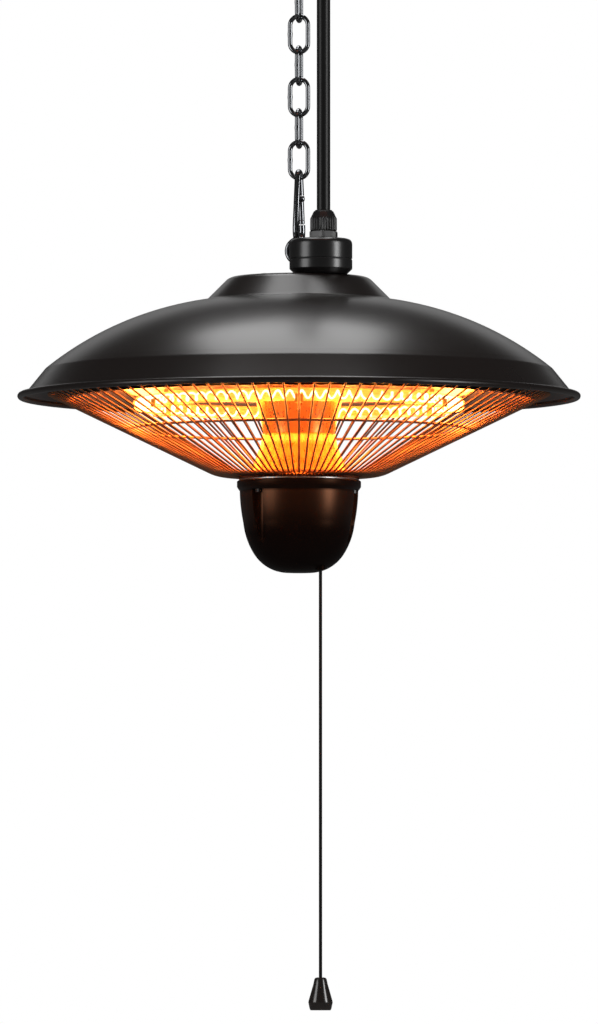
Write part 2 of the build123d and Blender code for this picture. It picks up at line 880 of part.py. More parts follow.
def bowl():
    waist = (bowl_waist_radius, bowl_top - bowl_waist_depth)
    hip = (bowl_hip_radius, bowl_top - bowl_hip_depth)
    foot = (bowl_foot_radius, bowl_bottom + bowl_foot_rise)
    moulding = spun(outline([
        (bowl_cavity_radius, bowl_top),
        (bowl_collar_radius, bowl_top),
        (bowl_collar_radius, channel_top + bowl_collar_chamfer),
        *chords((bowl_neck_radius, channel_top), waist, bowl_neck_bulge, 2),
        *chords(waist, hip, bowl_waist_bulge, 3)[1:],
        *chords(hip, foot, bowl_hip_bulge, 4)[1:],
        (bowl_base_radius, bowl_bottom),
        (bowl_core, bowl_bottom),
        (bowl_core, bowl_cavity_bottom),
        (bowl_cavity_foot_radius, bowl_cavity_bottom),
        (bowl_cavity_radius, bowl_cavity_bottom + bowl_cavity_taper),
    ]), round_flats)
    moulding += drum(bowl_core, bowl_bottom, bowl_cavity_bottom, sides=round_flats)
    for azimuth in channel_azimuths:
        channel = drum(channel_radius, bowl_bottom - overrun, channel_top, channel_circle_radius)
        hole = drum(bowl_screw_thread / 2, channel_top - overrun, bowl_top + overrun, channel_circle_radius, sides=screw_flats)
        moulding -= channel.rotate(Axis.Z, azimuth)
        moulding -= hole.rotate(Axis.Z, azimuth)
    return moulding - drum(bushing_radius, bowl_bottom - overrun, bowl_top, cord_x, cord_y)


def bowl_screws():
    low = channel_top - bowl_screw_head_height
    screw = drum(bowl_screw_head, low, channel_top, channel_circle_radius, sides=head_flats)
    screw += drum(bowl_screw_thread / 2, channel_top, plate_top, channel_circle_radius, sides=screw_flats)
    return around(screw, channel_azimuths)


# Pull switch in the bowl, its cord and the pull. Drawn with +X from the axis to the cord.

cord_azimuth = degrees(atan2(cord_y, cord_x))
cord_radius = sqrt(cord_x**2 + cord_y**2)
arm_pin_x = cord_radius - arm_reach
arm_pin_z = bowl_cavity_bottom + switch_height + arm_rise
bushing_low = bowl_bottom + bushing_proud
pull_z = bushing_low + bushing_mouth_depth


def to_cord(shape):
    return shape.rotate(Axis.Z, cord_azimuth)


def switch_body():
    box = block(
        (switch_length, switch_width, switch_height),
        (arm_pin_x + switch_ear_length / 2 - switch_length / 2, 0, bowl_cavity_bottom + switch_height / 2),
    )
    ear_y = arm_width / 2 + clip_gap + switch_ear_width / 2
    for side in (-1, 1):
        centre = (arm_pin_x, side * ear_y, bowl_cavity_bottom + switch_height + switch_ear_height / 2)
        box += block((switch_ear_length, switch_ear_width, switch_ear_height), centre)
    hole = (Pos(0, 0, -switch_width) * extrude(Circle(switch_pin / 2), 2 * switch_width)).rotate(Axis.X, 90)
    return to_cord(box - hole.moved(Location((arm_pin_x, 0, arm_pin_z))))


def pin_along_y(radius, length, middle=0):
    bar = (Pos(0, 0, -length / 2) * extrude(Circle(radius), length)).rotate(Axis.X, 90)
    return bar.moved(Location((arm_pin_x, middle, arm_pin_z)))


def switch_pin_bar():
    return to_cord(pin_along_y(switch_pin / 2, arm_width + 2 * clip_gap + 2 * switch_ear_width))


def switch_arm():
    length = arm_reach + arm_overhang
    arm = block((length, arm_width, arm_thickness), (arm_pin_x + length / 2, 0, arm_pin_z))
    arm += pin_along_y(arm_width / 2, arm_width)
    arm -= pin_along_y(switch_pin / 2 + tube_fit, 2 * arm_width)
    slot_length = 2 * arm_overhang + arm_slot
    slot = block((slot_length, arm_slot, 2 * arm_thickness), (cord_radius + arm_overhang, 0, arm_pin_z))
    return to_cord(arm - slot)


def arm_spring():
    """The return spring, wound on the pin's end, as a plain sleeve."""
    outside = arm_width / 2 + clip_gap + switch_ear_width
    length = switch_ear_width / 2
    middle = outside + length / 2
    sleeve = pin_along_y(spring_radius, length, middle) - pin_along_y(switch_pin / 2 + tube_fit, 2 * length, middle)
    return to_cord(sleeve)


def cord_bushing():
    top = bowl_cavity_bottom + bushing_flange
    bush = spun(outline([
        (bushing_mouth / 2, bushing_low),
        (bushing_radius, bushing_low),
        (bushing_radius, bowl_cavity_bottom),
        (bushing_flange_radius, bowl_cavity_bottom),
        (bushing_flange_radius, top),
        (bushing_bore / 2, top),
        (bushing_bore / 2, pull_z),
    ]), drum_flats)
    return bush.moved(Location((cord_x, cord_y, 0)))


def pull_stem():
    """The top of the cord with its knot, over the fork of the switch arm."""
    knot_z = arm_pin_z + arm_thickness / 2 + arm_gap
    knot_end = knot_radius * knot_end_share
    core = cord_diameter / 2
    stem = drum(core, pull_z, knot_z + 2 * knot_radius, sides=screw_flats)
    stem += spun(outline([
        (core, knot_z),
        (knot_end, knot_z),
        (knot_radius, knot_z + knot_radius - knot_end / 2),
        (knot_radius, knot_z + knot_radius + knot_end / 2),
        (knot_end, knot_z + 2 * knot_radius),
        (core, knot_z + 2 * knot_radius),
    ]), screw_flats)
    return stem.moved(Location((cord_x, cord_y, 0)))


def pull_cord():
    return drum(cord_diameter / 2, pull_z - cord_length, pull_z, cord_x, cord_y, screw_flats)


def pull_bell():
    top = pull_z - cord_length
    core = cord_diameter / 2
    bell = spun(outline([
        (core, top),
        (bell_top_radius, top),
        (bell_wide_radius, top - bell_length * bell_wide_share),
        (bell_mouth_radius, top - bell_length),
        (core, top - bell_length),
    ]), drum_flats)
    bell += drum(core, top - bell_length, top)
    return bell.moved(Location((cord_x, cord_y, 0)))


nodes = {
    "rose_plate": rose_plate(),
    "rose_cover": rose_cover(),
    "ceiling_hook": ceiling_hook(),
    "hook_nut": hook_nut(),
    "cover_nut": cover_nut(),
    "snap_hook_body": snap_hook(),
    "snap_gate": snap_gate(),
    "gate_rivet": gate_rivet(),
    "mains_cable": hung(mains_cable()),
    "eye_bolt": hung(eye_bolt()),
    "coupling_nut": hung(coupling_nut()),
    "shade": hung(shade()),
    "junction_box_base": hung(junction_box_base()),
    "junction_box_seal": hung(junction_box_seal()),
    "junction_box_cover": hung(junction_box_cover()),
    "terminal_block": hung(terminal_block()),
    "cap_screws": hung(cap_screws()),
    "frame_posts": hung(frame_posts()),
    "reflector": hung(reflector()),
    "reflector_screws": hung(reflector_screws()),
    "lamp_glass_tube": hung(lamp_glass_tube()),
    "filament": hung(filament()),
    "lamp_end_caps": hung(lamp_end_caps()),
    "lamp_clips": hung(lamp_clips()),
    "column_upper": hung(column_upper()),
    "column_lower": hung(column_lower()),
    "centre_tube": hung(centre_tube()),
    "tube_nut": hung(tube_nut()),
    "retaining_plate": hung(retaining_plate()),
    "guard_wires": hung(guard_wires()),
    "guard_rim_ring": hung(guard_rim_ring()),
    "guard_mid_ring": hung(guard_mid_ring()),
    "guard_hub_ring": hung(guard_hub_ring()),
    "guard_clips": hung(guard_clips()),
    "bowl": hung(bowl()),
    "bowl_screws": hung(bowl_screws()),
    "switch_body": hung(switch_body()),
    "switch_pin": hung(switch_pin_bar()),
    "switch_arm": hung(switch_arm()),
    "arm_spring": hung(arm_spring()),
    "cord_bushing": hung(cord_bushing()),
    "pull_stem": hung(pull_stem()),
    "pull_cord": hung(pull_cord()),
    "pull_bell": hung(pull_bell()),
}
for index in range(link_count):
    nodes[f"chain_link_{index + 1}"] = chain_link(index)
for name, face, up, length in (
    ("gland", brim_z + box_top, True, box_wall + 2 * locknut_thickness),
    ("rose_gland", -rose_depth, False, rose_wall + 2 * locknut_thickness),
):
    body, nut, seal = gland(face, up, length)
    nodes[f"{name}_body"] = body
    nodes[f"{name}_dome_nut"] = nut
    nodes[f"{name}_seal"] = seal
nodes["gland_locknut"] = locknut(brim_z + box_top - box_wall, False)
nodes["rose_gland_locknut"] = locknut(-rose_depth + rose_wall, True)
os.makedirs("parts", exist_ok=True)
for name, shape in nodes.items():
    export_step(shape, f"parts/{name}.step")
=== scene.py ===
import json
from math import atan2, cos, degrees, pi, radians, sin, sqrt, tan

import bpy
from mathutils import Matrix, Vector

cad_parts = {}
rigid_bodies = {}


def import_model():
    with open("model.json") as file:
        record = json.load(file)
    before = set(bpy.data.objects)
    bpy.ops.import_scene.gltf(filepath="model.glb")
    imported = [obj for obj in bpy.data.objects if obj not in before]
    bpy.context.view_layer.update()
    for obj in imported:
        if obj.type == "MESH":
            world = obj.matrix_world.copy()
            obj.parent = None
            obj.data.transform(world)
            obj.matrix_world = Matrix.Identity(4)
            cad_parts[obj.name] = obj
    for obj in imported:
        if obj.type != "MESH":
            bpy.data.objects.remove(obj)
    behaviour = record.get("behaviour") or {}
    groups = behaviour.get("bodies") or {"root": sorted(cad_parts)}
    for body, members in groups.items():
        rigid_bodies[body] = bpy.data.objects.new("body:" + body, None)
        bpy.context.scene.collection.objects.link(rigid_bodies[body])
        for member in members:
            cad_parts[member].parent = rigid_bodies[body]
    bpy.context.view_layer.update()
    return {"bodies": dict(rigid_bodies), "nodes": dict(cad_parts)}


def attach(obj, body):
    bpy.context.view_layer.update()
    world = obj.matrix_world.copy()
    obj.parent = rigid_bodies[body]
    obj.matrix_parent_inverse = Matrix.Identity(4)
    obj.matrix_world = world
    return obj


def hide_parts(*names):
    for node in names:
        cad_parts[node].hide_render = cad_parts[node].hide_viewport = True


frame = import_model()


# Camera
# A long lens a few metres off and a little under the brim, as the photograph was taken,
# with the frame's height at the heater's axis and its middle under the bowl.

MM = 0.001

frame_height = 774.0
camera_distance = 8000.0
camera_fall = radians(2.85)
frame_middle = -448.2
film_height = 36.0

lens = bpy.data.cameras.new("camera")
lens.sensor_fit = "VERTICAL"
lens.sensor_height = film_height
lens.lens = film_height * camera_distance / frame_height
lens.clip_end = 100.0
camera_z = frame_middle - camera_distance * sin(camera_fall)


def placed(name, data):
    """An object with this data, in the scene."""
    made = bpy.data.objects.new(name, data)
    bpy.context.scene.collection.objects.link(made)
    return made


camera = placed("camera", lens)
camera.location = Vector((0, -camera_distance * cos(camera_fall), camera_z)) * MM
camera.rotation_euler = (pi / 2 + camera_fall, 0, 0)
bpy.context.scene.camera = camera


# Room
# A plain pale floor well under the pull, white surroundings, and large soft boxes overhead,
# at both sides and behind, which draw the long soft lights on the black dome.

floor_drop = 1900.0
floor_size = 60000.0
room_light = 0.75
room_in_reflections = 0.045


def linear(code):
    """The linear colour of an sRGB hex code."""
    parts = [int(code[i:i + 2], 16) / 255 for i in (1, 3, 5)]
    return (*[c / 12.92 if c <= 0.04045 else ((c + 0.055) / 1.055) ** 2.4 for c in parts], 1.0)


def add(tree, kind, inputs=None, **settings):
    """Adds a node with its settings and the values or links of its sockets."""
    node = tree.nodes.new(kind)
    for key, value in settings.items():
        setattr(node, key, value)
    for key, value in (inputs or {}).items():
        if isinstance(value, bpy.types.NodeSocket):
            tree.links.new(value, node.inputs[key])
        else:
            node.inputs[key].default_value = value
    return node


def noise(tree, spot, size, detail):
    """The factor of a noise over the places given, on a lattice of this size in metres."""
    inputs = {"Vector": spot, "Scale": 1 / size, "Detail": detail}
    return add(tree, "ShaderNodeTexNoise", inputs).outputs["Fac"]


def blend(tree, factor, first, last):
    """The colour between two hex codes that a factor picks."""
    inputs = {"Factor": factor, "A": linear(first), "B": linear(last)}
    return add(tree, "ShaderNodeMix", inputs, data_type="RGBA").outputs["Result"]


def material(name):
    """A new material with an empty node tree, and its tree."""
    made = bpy.data.materials.new(name)
    made.use_nodes = True
    made.node_tree.nodes.clear()
    return made, made.node_tree


def surface(tree, inputs):
    """A principled shader with these inputs, as the surface of a material."""
    shader = add(tree, "ShaderNodeBsdfPrincipled", inputs)
    add(tree, "ShaderNodeOutputMaterial", {"Surface": shader.outputs["BSDF"]})


floor_paint, tree = material("pale_floor_paint")
# Pale paint with a fine roller grain, clear from below, and dim in reflections as the room is
grain = add(tree, "ShaderNodeTexNoise", {"Scale": 6.0, "Detail": 3.0})
path = add(tree, "ShaderNodeLightPath")
tone = blend(tree, grain.outputs["Fac"], "#ededec", "#f4f4f3")
dimmed = add(tree, "ShaderNodeMix", {
    "Factor": path.outputs["Is Glossy Ray"],
    "A": tone,
    "B": linear("#5c5c5c"),
}, data_type="RGBA")
paint = add(tree, "ShaderNodeBsdfDiffuse", {"Color": dimmed.outputs["Result"]})
clear = add(tree, "ShaderNodeBsdfTransparent")
side = add(tree, "ShaderNodeNewGeometry")
cover = add(tree, "ShaderNodeMixShader", {
    0: side.outputs["Backfacing"],
    1: paint.outputs[0],
    2: clear.outputs[0],
})
add(tree, "ShaderNodeOutputMaterial", {"Surface": cover.outputs[0]})

half = floor_size * MM / 2
mesh = bpy.data.meshes.new("floor")
mesh.from_pydata([(-half, -half, 0), (half, -half, 0), (half, half, 0), (-half, half, 0)], [], [(0, 1, 2, 3)])
mesh.materials.append(floor_paint)
floor = placed("floor", mesh)
floor.location.z = -floor_drop * MM

world = bpy.data.worlds.new("white_studio")
bpy.context.scene.world = world
world.use_nodes = True
tree = world.node_tree
tree.nodes.clear()
path = add(tree, "ShaderNodeLightPath")
# The eye sees white, flat surfaces are lit softly, and reflections see a dim room
fill = add(tree, "ShaderNodeMath", {
    0: path.outputs["Is Camera Ray"],
    1: 1 - room_light,
    2: room_light,
}, operation="MULTIPLY_ADD")
strength = add(tree, "ShaderNodeMath", {
    0: path.outputs["Is Glossy Ray"],
    1: room_in_reflections - room_light,
    2: fill.outputs[0],
}, operation="MULTIPLY_ADD")
glow = add(tree, "ShaderNodeBackground", {"Color": (1, 1, 1, 1), "Strength": strength.outputs[0]})
add(tree, "ShaderNodeOutputWorld", {"Surface": glow.outputs[0]})

bpy.context.scene.view_settings.view_transform = "Standard"
bpy.context.scene.view_settings.look = "None"


def soft_box(name, place, aim, size, power, colour="#ffffff"):
    """A rectangular area light at a place, aimed at a point, sizes in metres."""
    light = bpy.data.lights.new(name, "AREA")
    light.shape = "RECTANGLE"
    light.size, light.size_y = size
    light.energy = power
    light.color = linear(colour)[:3]
    lamp = placed(name, light)
    lamp.location = place
    lamp.rotation_euler = (Vector(aim) - Vector(place)).to_track_quat("-Z", "Y").to_euler()
    return lamp


overhead = soft_box("top_box", (-0.04, 0.45, 1.1), (-0.04, 0.45, -0.33), (0.88, 1.08), 11.7)
soft_box("warm_box", (0, -0.8, 1.1), (0, -0.1, -0.35), (1.6, 0.4), 0.6, "#ff8a68")
soft_box("left_strip", (-1.72, -1.0, -0.15), (0, 0, -0.3), (0.95, 1.3), 9)
soft_box("right_strip", (1.68, -0.97, -0.15), (0, 0, -0.3), (0.55, 1.3), 13)
soft_box("back_box", (-0.1, 3.0, 0.85), (0, 0, -0.3), (2.6, 0.8), 3)


# Ceiling plate and its cover
# A round steel plate screwed to the ceiling, and over it a spun steel cup with the same
# satin black powder coat as the shade, held up by a thin nut on the hook's shank.

rose_radius = 50.0
rose_depth = 20.0
rose_corner = 4.0
rose_sheet = 1.2
rose_hole = 3.3


def rounded(points, radius, steps=5, closed=True):
    """An outline with its corners rounded, radius at most a third of each side."""
    result = []
    count = len(points)
    for i, point in enumerate(points):
        here = Vector(point)
        if not closed and i in (0, count - 1):
            result.append(tuple(here))
            continue
        before, after = Vector(points[i - 1]), Vector(points[(i + 1) % count])
        reach = min(radius, (before - here).length / 3, (after - here).length / 3)
        start = here + (before - here).normalized() * reach
        end = here + (after - here).normalized() * reach
        for step in range(steps + 1):
            t = step / steps
            result.append(tuple(start * (1 - t) ** 2 + here * 2 * t * (1 - t) + end * t ** 2))
    return result


def piece(name, data, body, slot, finish, *nodes):
    """An object that rides on a CAD body, stands for CAD nodes and carries a finish."""
    made = placed(name, data)
    data.name = name
    data.materials.append(finish)
    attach(made, body)
    if nodes:
        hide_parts(*nodes)
    return made


def smooth(mesh, angle=32):
    """Smooth shading, with the edges sharper than the angle left sharp."""
    mesh.shade_smooth()
    mesh.set_sharp_from_angle(angle=radians(angle))
    return mesh


def rings(rows, sides, place, closed=True, flip=False):
    """Points and faces of one ring for each row, placed by angle and row, each joined to the next."""
    points = [place(2 * pi * i / sides, *row) for row in rows for i in range(sides)]
    faces = []
    for k in range(len(rows) if closed else len(rows) - 1):
        m = (k + 1) % len(rows)
        for i in range(sides):
            j = (i + 1) % sides
            face = (k * sides + i, k * sides + j, m * sides + j, m * sides + i)
            faces.append(face[:1] + face[:0:-1] if flip else face)
    return points, faces


def spun(outline, lift=0.0, x=0.0, y=0.0, sides=160):
    """A closed outline of radius and height, counter-clockwise, turned about an upright axis."""
    return rings(outline, sides, lambda angle, r, z: (x + r * cos(angle), y + r * sin(angle), z + lift))


def mesh_of(*parts):
    """One smooth mesh of parts that each have points, in millimetres, and faces."""
    verts, faces = [], []
    for points, corners in parts:
        faces += [tuple(len(verts) + i for i in face) for face in corners]
        verts += [tuple(c * MM for c in point) for point in points]
    mesh = bpy.data.meshes.new("mesh")
    mesh.from_pydata(verts, [], faces)
    mesh.validate()
    return smooth(mesh)


black_coat, tree = material("satin_black_powder_coated_steel")
# Powder coat flows out to a fine orange peel about 0.6 mm across, and reflects as a soft satin
spot = add(tree, "ShaderNodeTexCoord").outputs["Object"]
peel = noise(tree, spot, 0.0012, 2.0)
cloud = noise(tree, spot, 0.09, 4.0)
bump = add(tree, "ShaderNodeBump", {"Height": peel, "Strength": 0.10, "Distance": 0.00006})
tone = blend(tree, cloud, "#120d0c", "#17100d")
rough = add(tree, "ShaderNodeMapRange", {
    "Value": cloud,
    "From Min": 0.3,
    "From Max": 0.7,
    "To Min": 0.27,
    "To Max": 0.31,
})
surface(tree, {
    "Base Color": tone,
    "Roughness": rough.outputs["Result"],
    "IOR": 1.5,
    "Coat Weight": 0.15,
    "Coat Roughness": 0.22,
    "Normal": bump.outputs["Normal"],
})

zinc_steel, tree = material("dull_zinc_plated_steel")
# Barrel-plated screws, nuts and brackets are grey, a little cloudy, and not as bright as the chain
spot = add(tree, "ShaderNodeTexCoord").outputs["Object"]
cloud = noise(tree, spot, 0.004, 4.0)
tone = blend(tree, cloud, "#a3a3a4", "#c4c4c3")
rough = add(tree, "ShaderNodeMapRange", {"Value": cloud, "To Min": 0.25, "To Max": 0.45})
surface(tree, {"Base Color": tone, "Metallic": 1.0, "Roughness": rough.outputs["Result"]})

outline = rounded([
    (rose_hole, -rose_depth),
    (rose_radius, -rose_depth),
    (rose_radius, 0),
    (rose_radius - rose_sheet, 0),
    (rose_radius - rose_sheet, -rose_depth + rose_sheet),
    (rose_hole, -rose_depth + rose_sheet),
], rose_corner, 8)
ceiling_cover = piece("ceiling_cover", mesh_of(spun(outline)), "ceiling_fitting", "black_satin_steel",
                      black_coat, "rose_cover")


def refinish(finish, *names):
    """Gives carried-over CAD nodes a better finish."""
    for name in names:
        data = frame["nodes"][name].data
        data.materials.clear()
        data.materials.append(finish)


refinish(zinc_steel, "rose_plate", "hook_nut")

# The overhead box shines past the fitting, which would leave a dark spot in the sheen of the dome
past = bpy.data.collections.new("clear_of_the_overhead_box")
for made in (ceiling_cover, frame["nodes"]["rose_plate"]):
    past.objects.link(made)
for row in past.collection_objects:
    row.light_linking.link_state = "EXCLUDE"
overhead.light_linking.blocker_collection = past


# Ceiling hook and its nuts
# A bent bar of bright zinc plated steel, threaded into the plate, whose bend carries the
# top link. The thin nut under the cover is turned from the same steel.

hook_drop = 52.5
hook_wire = 5.0
hook_bend = 8.0
cover_nut_flats = 16.0
cover_nut_height = 3.0
cover_nut_bore = 3.05
chain_twist = radians(-12)


def twisted(points, quarter=False):
    """Points drawn in the XZ plane, turned with the chain, and a quarter turn more."""
    turn = chain_twist + (pi / 2 if quarter else 0)
    return [(x * cos(turn) - y * sin(turn), x * sin(turn) + y * cos(turn), z) for x, y, z in points]


def arc(centre_x, centre_z, radius, start, end, step=6.0):
    """Points on an arc in the XZ plane, angles in degrees."""
    count = max(2, round(abs(end - start) / step))
    angles = [radians(start + (end - start) * i / count) for i in range(count + 1)]
    return [(centre_x + radius * cos(a), 0.0, centre_z + radius * sin(a)) for a in angles]


def wire(runs, diameter, closed=False, fineness=5, swell=None):
    """Bent wires along runs of points, in millimetres."""
    curve = bpy.data.curves.new("wire", "CURVE")
    curve.dimensions = "3D"
    curve.bevel_depth = diameter / 2 * MM
    curve.bevel_resolution = fineness
    curve.use_fill_caps = not closed
    for points in runs:
        spline = curve.splines.new("POLY")
        spline.points.add(len(points) - 1)
        for i, point in enumerate(points):
            spline.points[i].co = (*[c * MM for c in point], 1.0)
            spline.points[i].radius = swell(i, len(points)) if swell else 1.0
        spline.use_cyclic_u = closed
        spline.use_smooth = True
    return curve


bright_zinc, tree = material("bright_zinc_plated_steel")
# Clear zinc plate over drawn wire: nearly a mirror, with faint clouds of handling marks
spot = add(tree, "ShaderNodeTexCoord").outputs["Object"]
cloud = noise(tree, spot, 0.005, 5.0)
tone = blend(tree, cloud, "#86888b", "#a6a8ab")
rough = add(tree, "ShaderNodeMapRange", {
    "Value": cloud,
    "From Min": 0.3,
    "From Max": 0.7,
    "To Min": 0.07,
    "To Max": 0.14,
})
bump = add(tree, "ShaderNodeBump", {"Height": cloud, "Strength": 0.03, "Distance": 0.0001})
surface(tree, {
    "Base Color": tone,
    "Metallic": 1.0,
    "Roughness": rough.outputs["Result"],
    "Normal": bump.outputs["Normal"],
})


def blunt(i, count):
    """Wire thickness that rounds off its last points."""
    return {0: 1.0, count - 1: 0.35, count - 2: 0.75, count - 3: 0.94}.get(i, 1.0)


ring_z = -hook_drop + hook_bend
neck_bend = hook_bend * cos(pi / 4) / (1 - cos(pi / 4))
neck_z = ring_z + (hook_bend + neck_bend) * sin(pi / 4)
neck = arc(neck_bend, neck_z, neck_bend, 180, 225)
ring = arc(0, ring_z, hook_bend, 45, -190)
tip = arc(0, ring_z, hook_bend, -191.5, -195, 1.2)
line = [(0, 0, -rose_depth + 1)] + neck + ring[1:] + tip
piece("ceiling_hook_bar", wire([twisted(line)], hook_wire, swell=blunt), "ceiling_fitting",
      "bright_zinc", bright_zinc, "ceiling_hook")


def hex_nut(flats, low, high, bore, x=0.0, y=0.0, chamfer=0.6, turn=0.0, sides=72):
    """A hexagon nut or collar with turned chamfers at both ends."""
    corner = flats / sqrt(3)
    ends = corner - chamfer

    def place(angle, most, less, z):
        flat = flats / 2 / cos((angle + pi / 6) % (pi / 3) - pi / 6)
        r = min(flat, most) - less
        return x + r * cos(angle + turn), y + r * sin(angle + turn), z

    half = chamfer / 2
    rows = [(bore, 0, low), (ends, half, low), (ends, 0, low + half), (corner, 0, low + chamfer),
            (corner, 0, high - chamfer), (ends, 0, high - half), (ends, half, high), (bore, 0, high)]
    return mesh_of(rings(rows, sides, place))


nut = hex_nut(cover_nut_flats, -rose_depth - cover_nut_height, -rose_depth, cover_nut_bore)
piece("cover_nut_turned", nut, "ceiling_fitting", "plain_steel", zinc_steel, "cover_nut")


# Chain
# Six links of bright zinc plated wire, each bent to a long oval and butt welded in the
# middle of one side, where a small collar of weld is left.

link_count = 6
link_wire = 3.5
link_length = 31.0
link_width = 17.3
chain_play = 0.1
weld_swell = 0.14
side_steps = 10
link_reach = link_length - link_wire
link_pitch = link_reach - link_wire - chain_play
first_top = -hook_drop + (hook_wire + link_wire) / 2 + chain_play

for number in range(link_count):
    top = first_top - number * link_pitch
    bend = (link_width - link_wire) / 2
    lower, upper = top - link_reach + bend, top - bend
    side = [(bend, 0, lower + (upper - lower) * i / side_steps) for i in range(1, side_steps)]
    half_turn = arc(0, lower, bend, -90, 0, 9)
    line = half_turn + side + arc(0, upper, bend, 0, 180, 9) + arc(0, lower, bend, 180, 260, 9)
    line = twisted([(-x, y, z) for x, y, z in line], number % 2 == 0)
    welded = len(half_turn) + side_steps // 2 - 1
    swell = lambda i, count, middle=welded: 1.0 + weld_swell * max(0.0, 1 - abs(i - middle) / 2)
    name = f"chain_link_{number + 1}"
    piece(f"{name}_wire", wire([line], link_wire, True, 6, swell), name, "bright_zinc", bright_zinc, name)


# Snap hook
# A pear-shaped hook of bright zinc plated bar. Its sprung gate is a turned pin, forked at
# the knuckle, that closes on the nose of the bar and is riveted between two cheeks.

snap_wire = 5.0
snap_length = 60.0
snap_wide = 11.5
snap_narrow = 4.0
gate_hinge = 35.5
gate_latch = 15.8
gate_rod = 4.4
gate_gap = 0.4
bar_setback = 2.6
cheek_inner, cheek_outer, cheek_radius = 1.4, 2.5, 2.2
tongue_half = 1.2
rivet_half = 2.8
snap_top = first_top - link_reach - (link_count - 1) * link_pitch + (link_wire + snap_wire) / 2 + chain_play
snap_bar = snap_top - (snap_length - snap_wire)
narrow_height = snap_length - snap_wire - snap_narrow
lean = (snap_wide - snap_narrow) / (narrow_height - snap_wide)
slope = degrees(atan2(lean, sqrt(1 - lean ** 2)))


def snap_leg(height):
    """A point on the gate's side of the hook, by its height over the lower bar."""
    return (snap_wide - (height - snap_wide) * lean) / sqrt(1 - lean ** 2), 0.0, snap_bar + height


knuckle = Vector(snap_leg(gate_hinge))
nose = Vector(snap_leg(gate_latch))
along = (nose - knuckle).normalized()
wide_z, narrow_z = snap_bar + snap_wide, snap_top - snap_narrow
line = [tuple(nose)] + arc(0, wide_z, snap_wide, slope, -180 - slope)
line += arc(0, narrow_z, snap_narrow, 180 - slope, slope) + [tuple(knuckle - along * bar_setback)]
piece("snap_hook_bar", wire([twisted(line, True)], snap_wire, fineness=6), "snap_hook",
      "bright_zinc", bright_zinc, "snap_hook_body")


def bar_between(start, end, stations, sides=40):
    """A turned bar from start to end, by stations of distance and radius."""
    axis = (end - start).normalized()
    out = axis.orthogonal().normalized()
    across = axis.cross(out)

    def place(angle, distance, radius):
        return tuple(start + axis * distance + (out * cos(angle) + across * sin(angle)) * radius)

    points, faces = rings(stations, sides, place, closed=False)
    faces += [tuple(reversed(range(sides))), tuple(range(len(points) - sides, len(points)))]
    return mesh_of((twisted(points, True), faces))


gate_length = gate_hinge - gate_latch - gate_gap
radius = gate_rod / 2
stations = [(1.9, radius * 0.8), (2.4, radius), (gate_length - 3.4, radius),
            (gate_length - 3.1, radius * 0.9), (gate_length - 2.8, radius),
            (gate_length - 0.5, radius), (gate_length, radius * 0.82)]
pin = bar_between(knuckle, nose, stations)
piece("snap_gate_pin", pin, "snap_gate", "bright_zinc", bright_zinc, "snap_gate")


def cross_bar(low, high, stations):
    """A turned bar across the knuckle, on the axis of the rivet."""
    side = Vector((0, 1, 0))
    return bar_between(knuckle + side * low, knuckle + side * high, stations)


thick, edge = cheek_outer - cheek_inner, cheek_radius - 0.3
stations = [(0, edge), (0.3, cheek_radius), (thick - 0.3, cheek_radius), (thick, edge)]
for name, low, high in (
    ("gate_cheek_near", -cheek_outer, -cheek_inner),
    ("gate_cheek_far", cheek_inner, cheek_outer),
):
    piece(name, cross_bar(low, high, stations), "snap_hook", "bright_zinc", bright_zinc)
stations = [(0, 2.0), (0.2, 2.1), (2.2, 2.1), (2.4, 2.0)]
piece("gate_tongue", cross_bar(-tongue_half, tongue_half, stations), "snap_gate", "bright_zinc", bright_zinc)
stations = [(0, 0.9), (0.25, 1.25), (0.5, 1.3), (0.55, 0.8),
            (5.05, 0.8), (5.1, 1.3), (5.35, 1.25), (5.6, 0.9)]
piece("gate_rivet_heads", cross_bar(-rivet_half, rivet_half, stations), "snap_hook",
      "plain_steel", zinc_steel, "gate_rivet")


# Eye bolt and coupling nut
# The eye that the snap hook takes is bent from bar and screwed through the cap into a long
# nut, which also takes the top of the heater's centre tube.

brim = -361.3
dome_height = 91.0
eye_wire = 3.8
eye_ring = 9.1
eye_height = 19.9
cap_top = brim + dome_height
line = twisted(arc(0, cap_top + eye_height, eye_ring, -90, 264))
piece("eye_ring", wire([line], eye_wire, True), "heater", "bright_zinc", bright_zinc, "eye_bolt")
neck = rounded([(0.5, 0), (7.5, 0), (7.5, 2.5), (3.5, 2.9), (2.6, 5), (2.6, 10.4), (0.5, 10.4)], 0.6, 4)
piece("eye_collar", mesh_of(spun(neck, cap_top, sides=64)), "heater", "bright_zinc", bright_zinc)
refinish(zinc_steel, "coupling_nut")


# Shade
# One spun steel shell: a flat cap with a sloped side, a long dome, a crease, a short steep
# skirt and a rolled bead at the brim. Powder coated satin black inside and out.

brim_radius = 213.0
sheet = 1.0
cap_corner, cap_slope_end, crease, skirt = (52.5, 91.0), (70.0, 73.5), (192.0, 21.0), (206.8, 2.7)
cap_hole, cap_edge = 4.0, 10.0
dome_bulge = 9.2
fold = 1.2
bead, bead_rise, bead_steps = 2.5, 0.6, 20


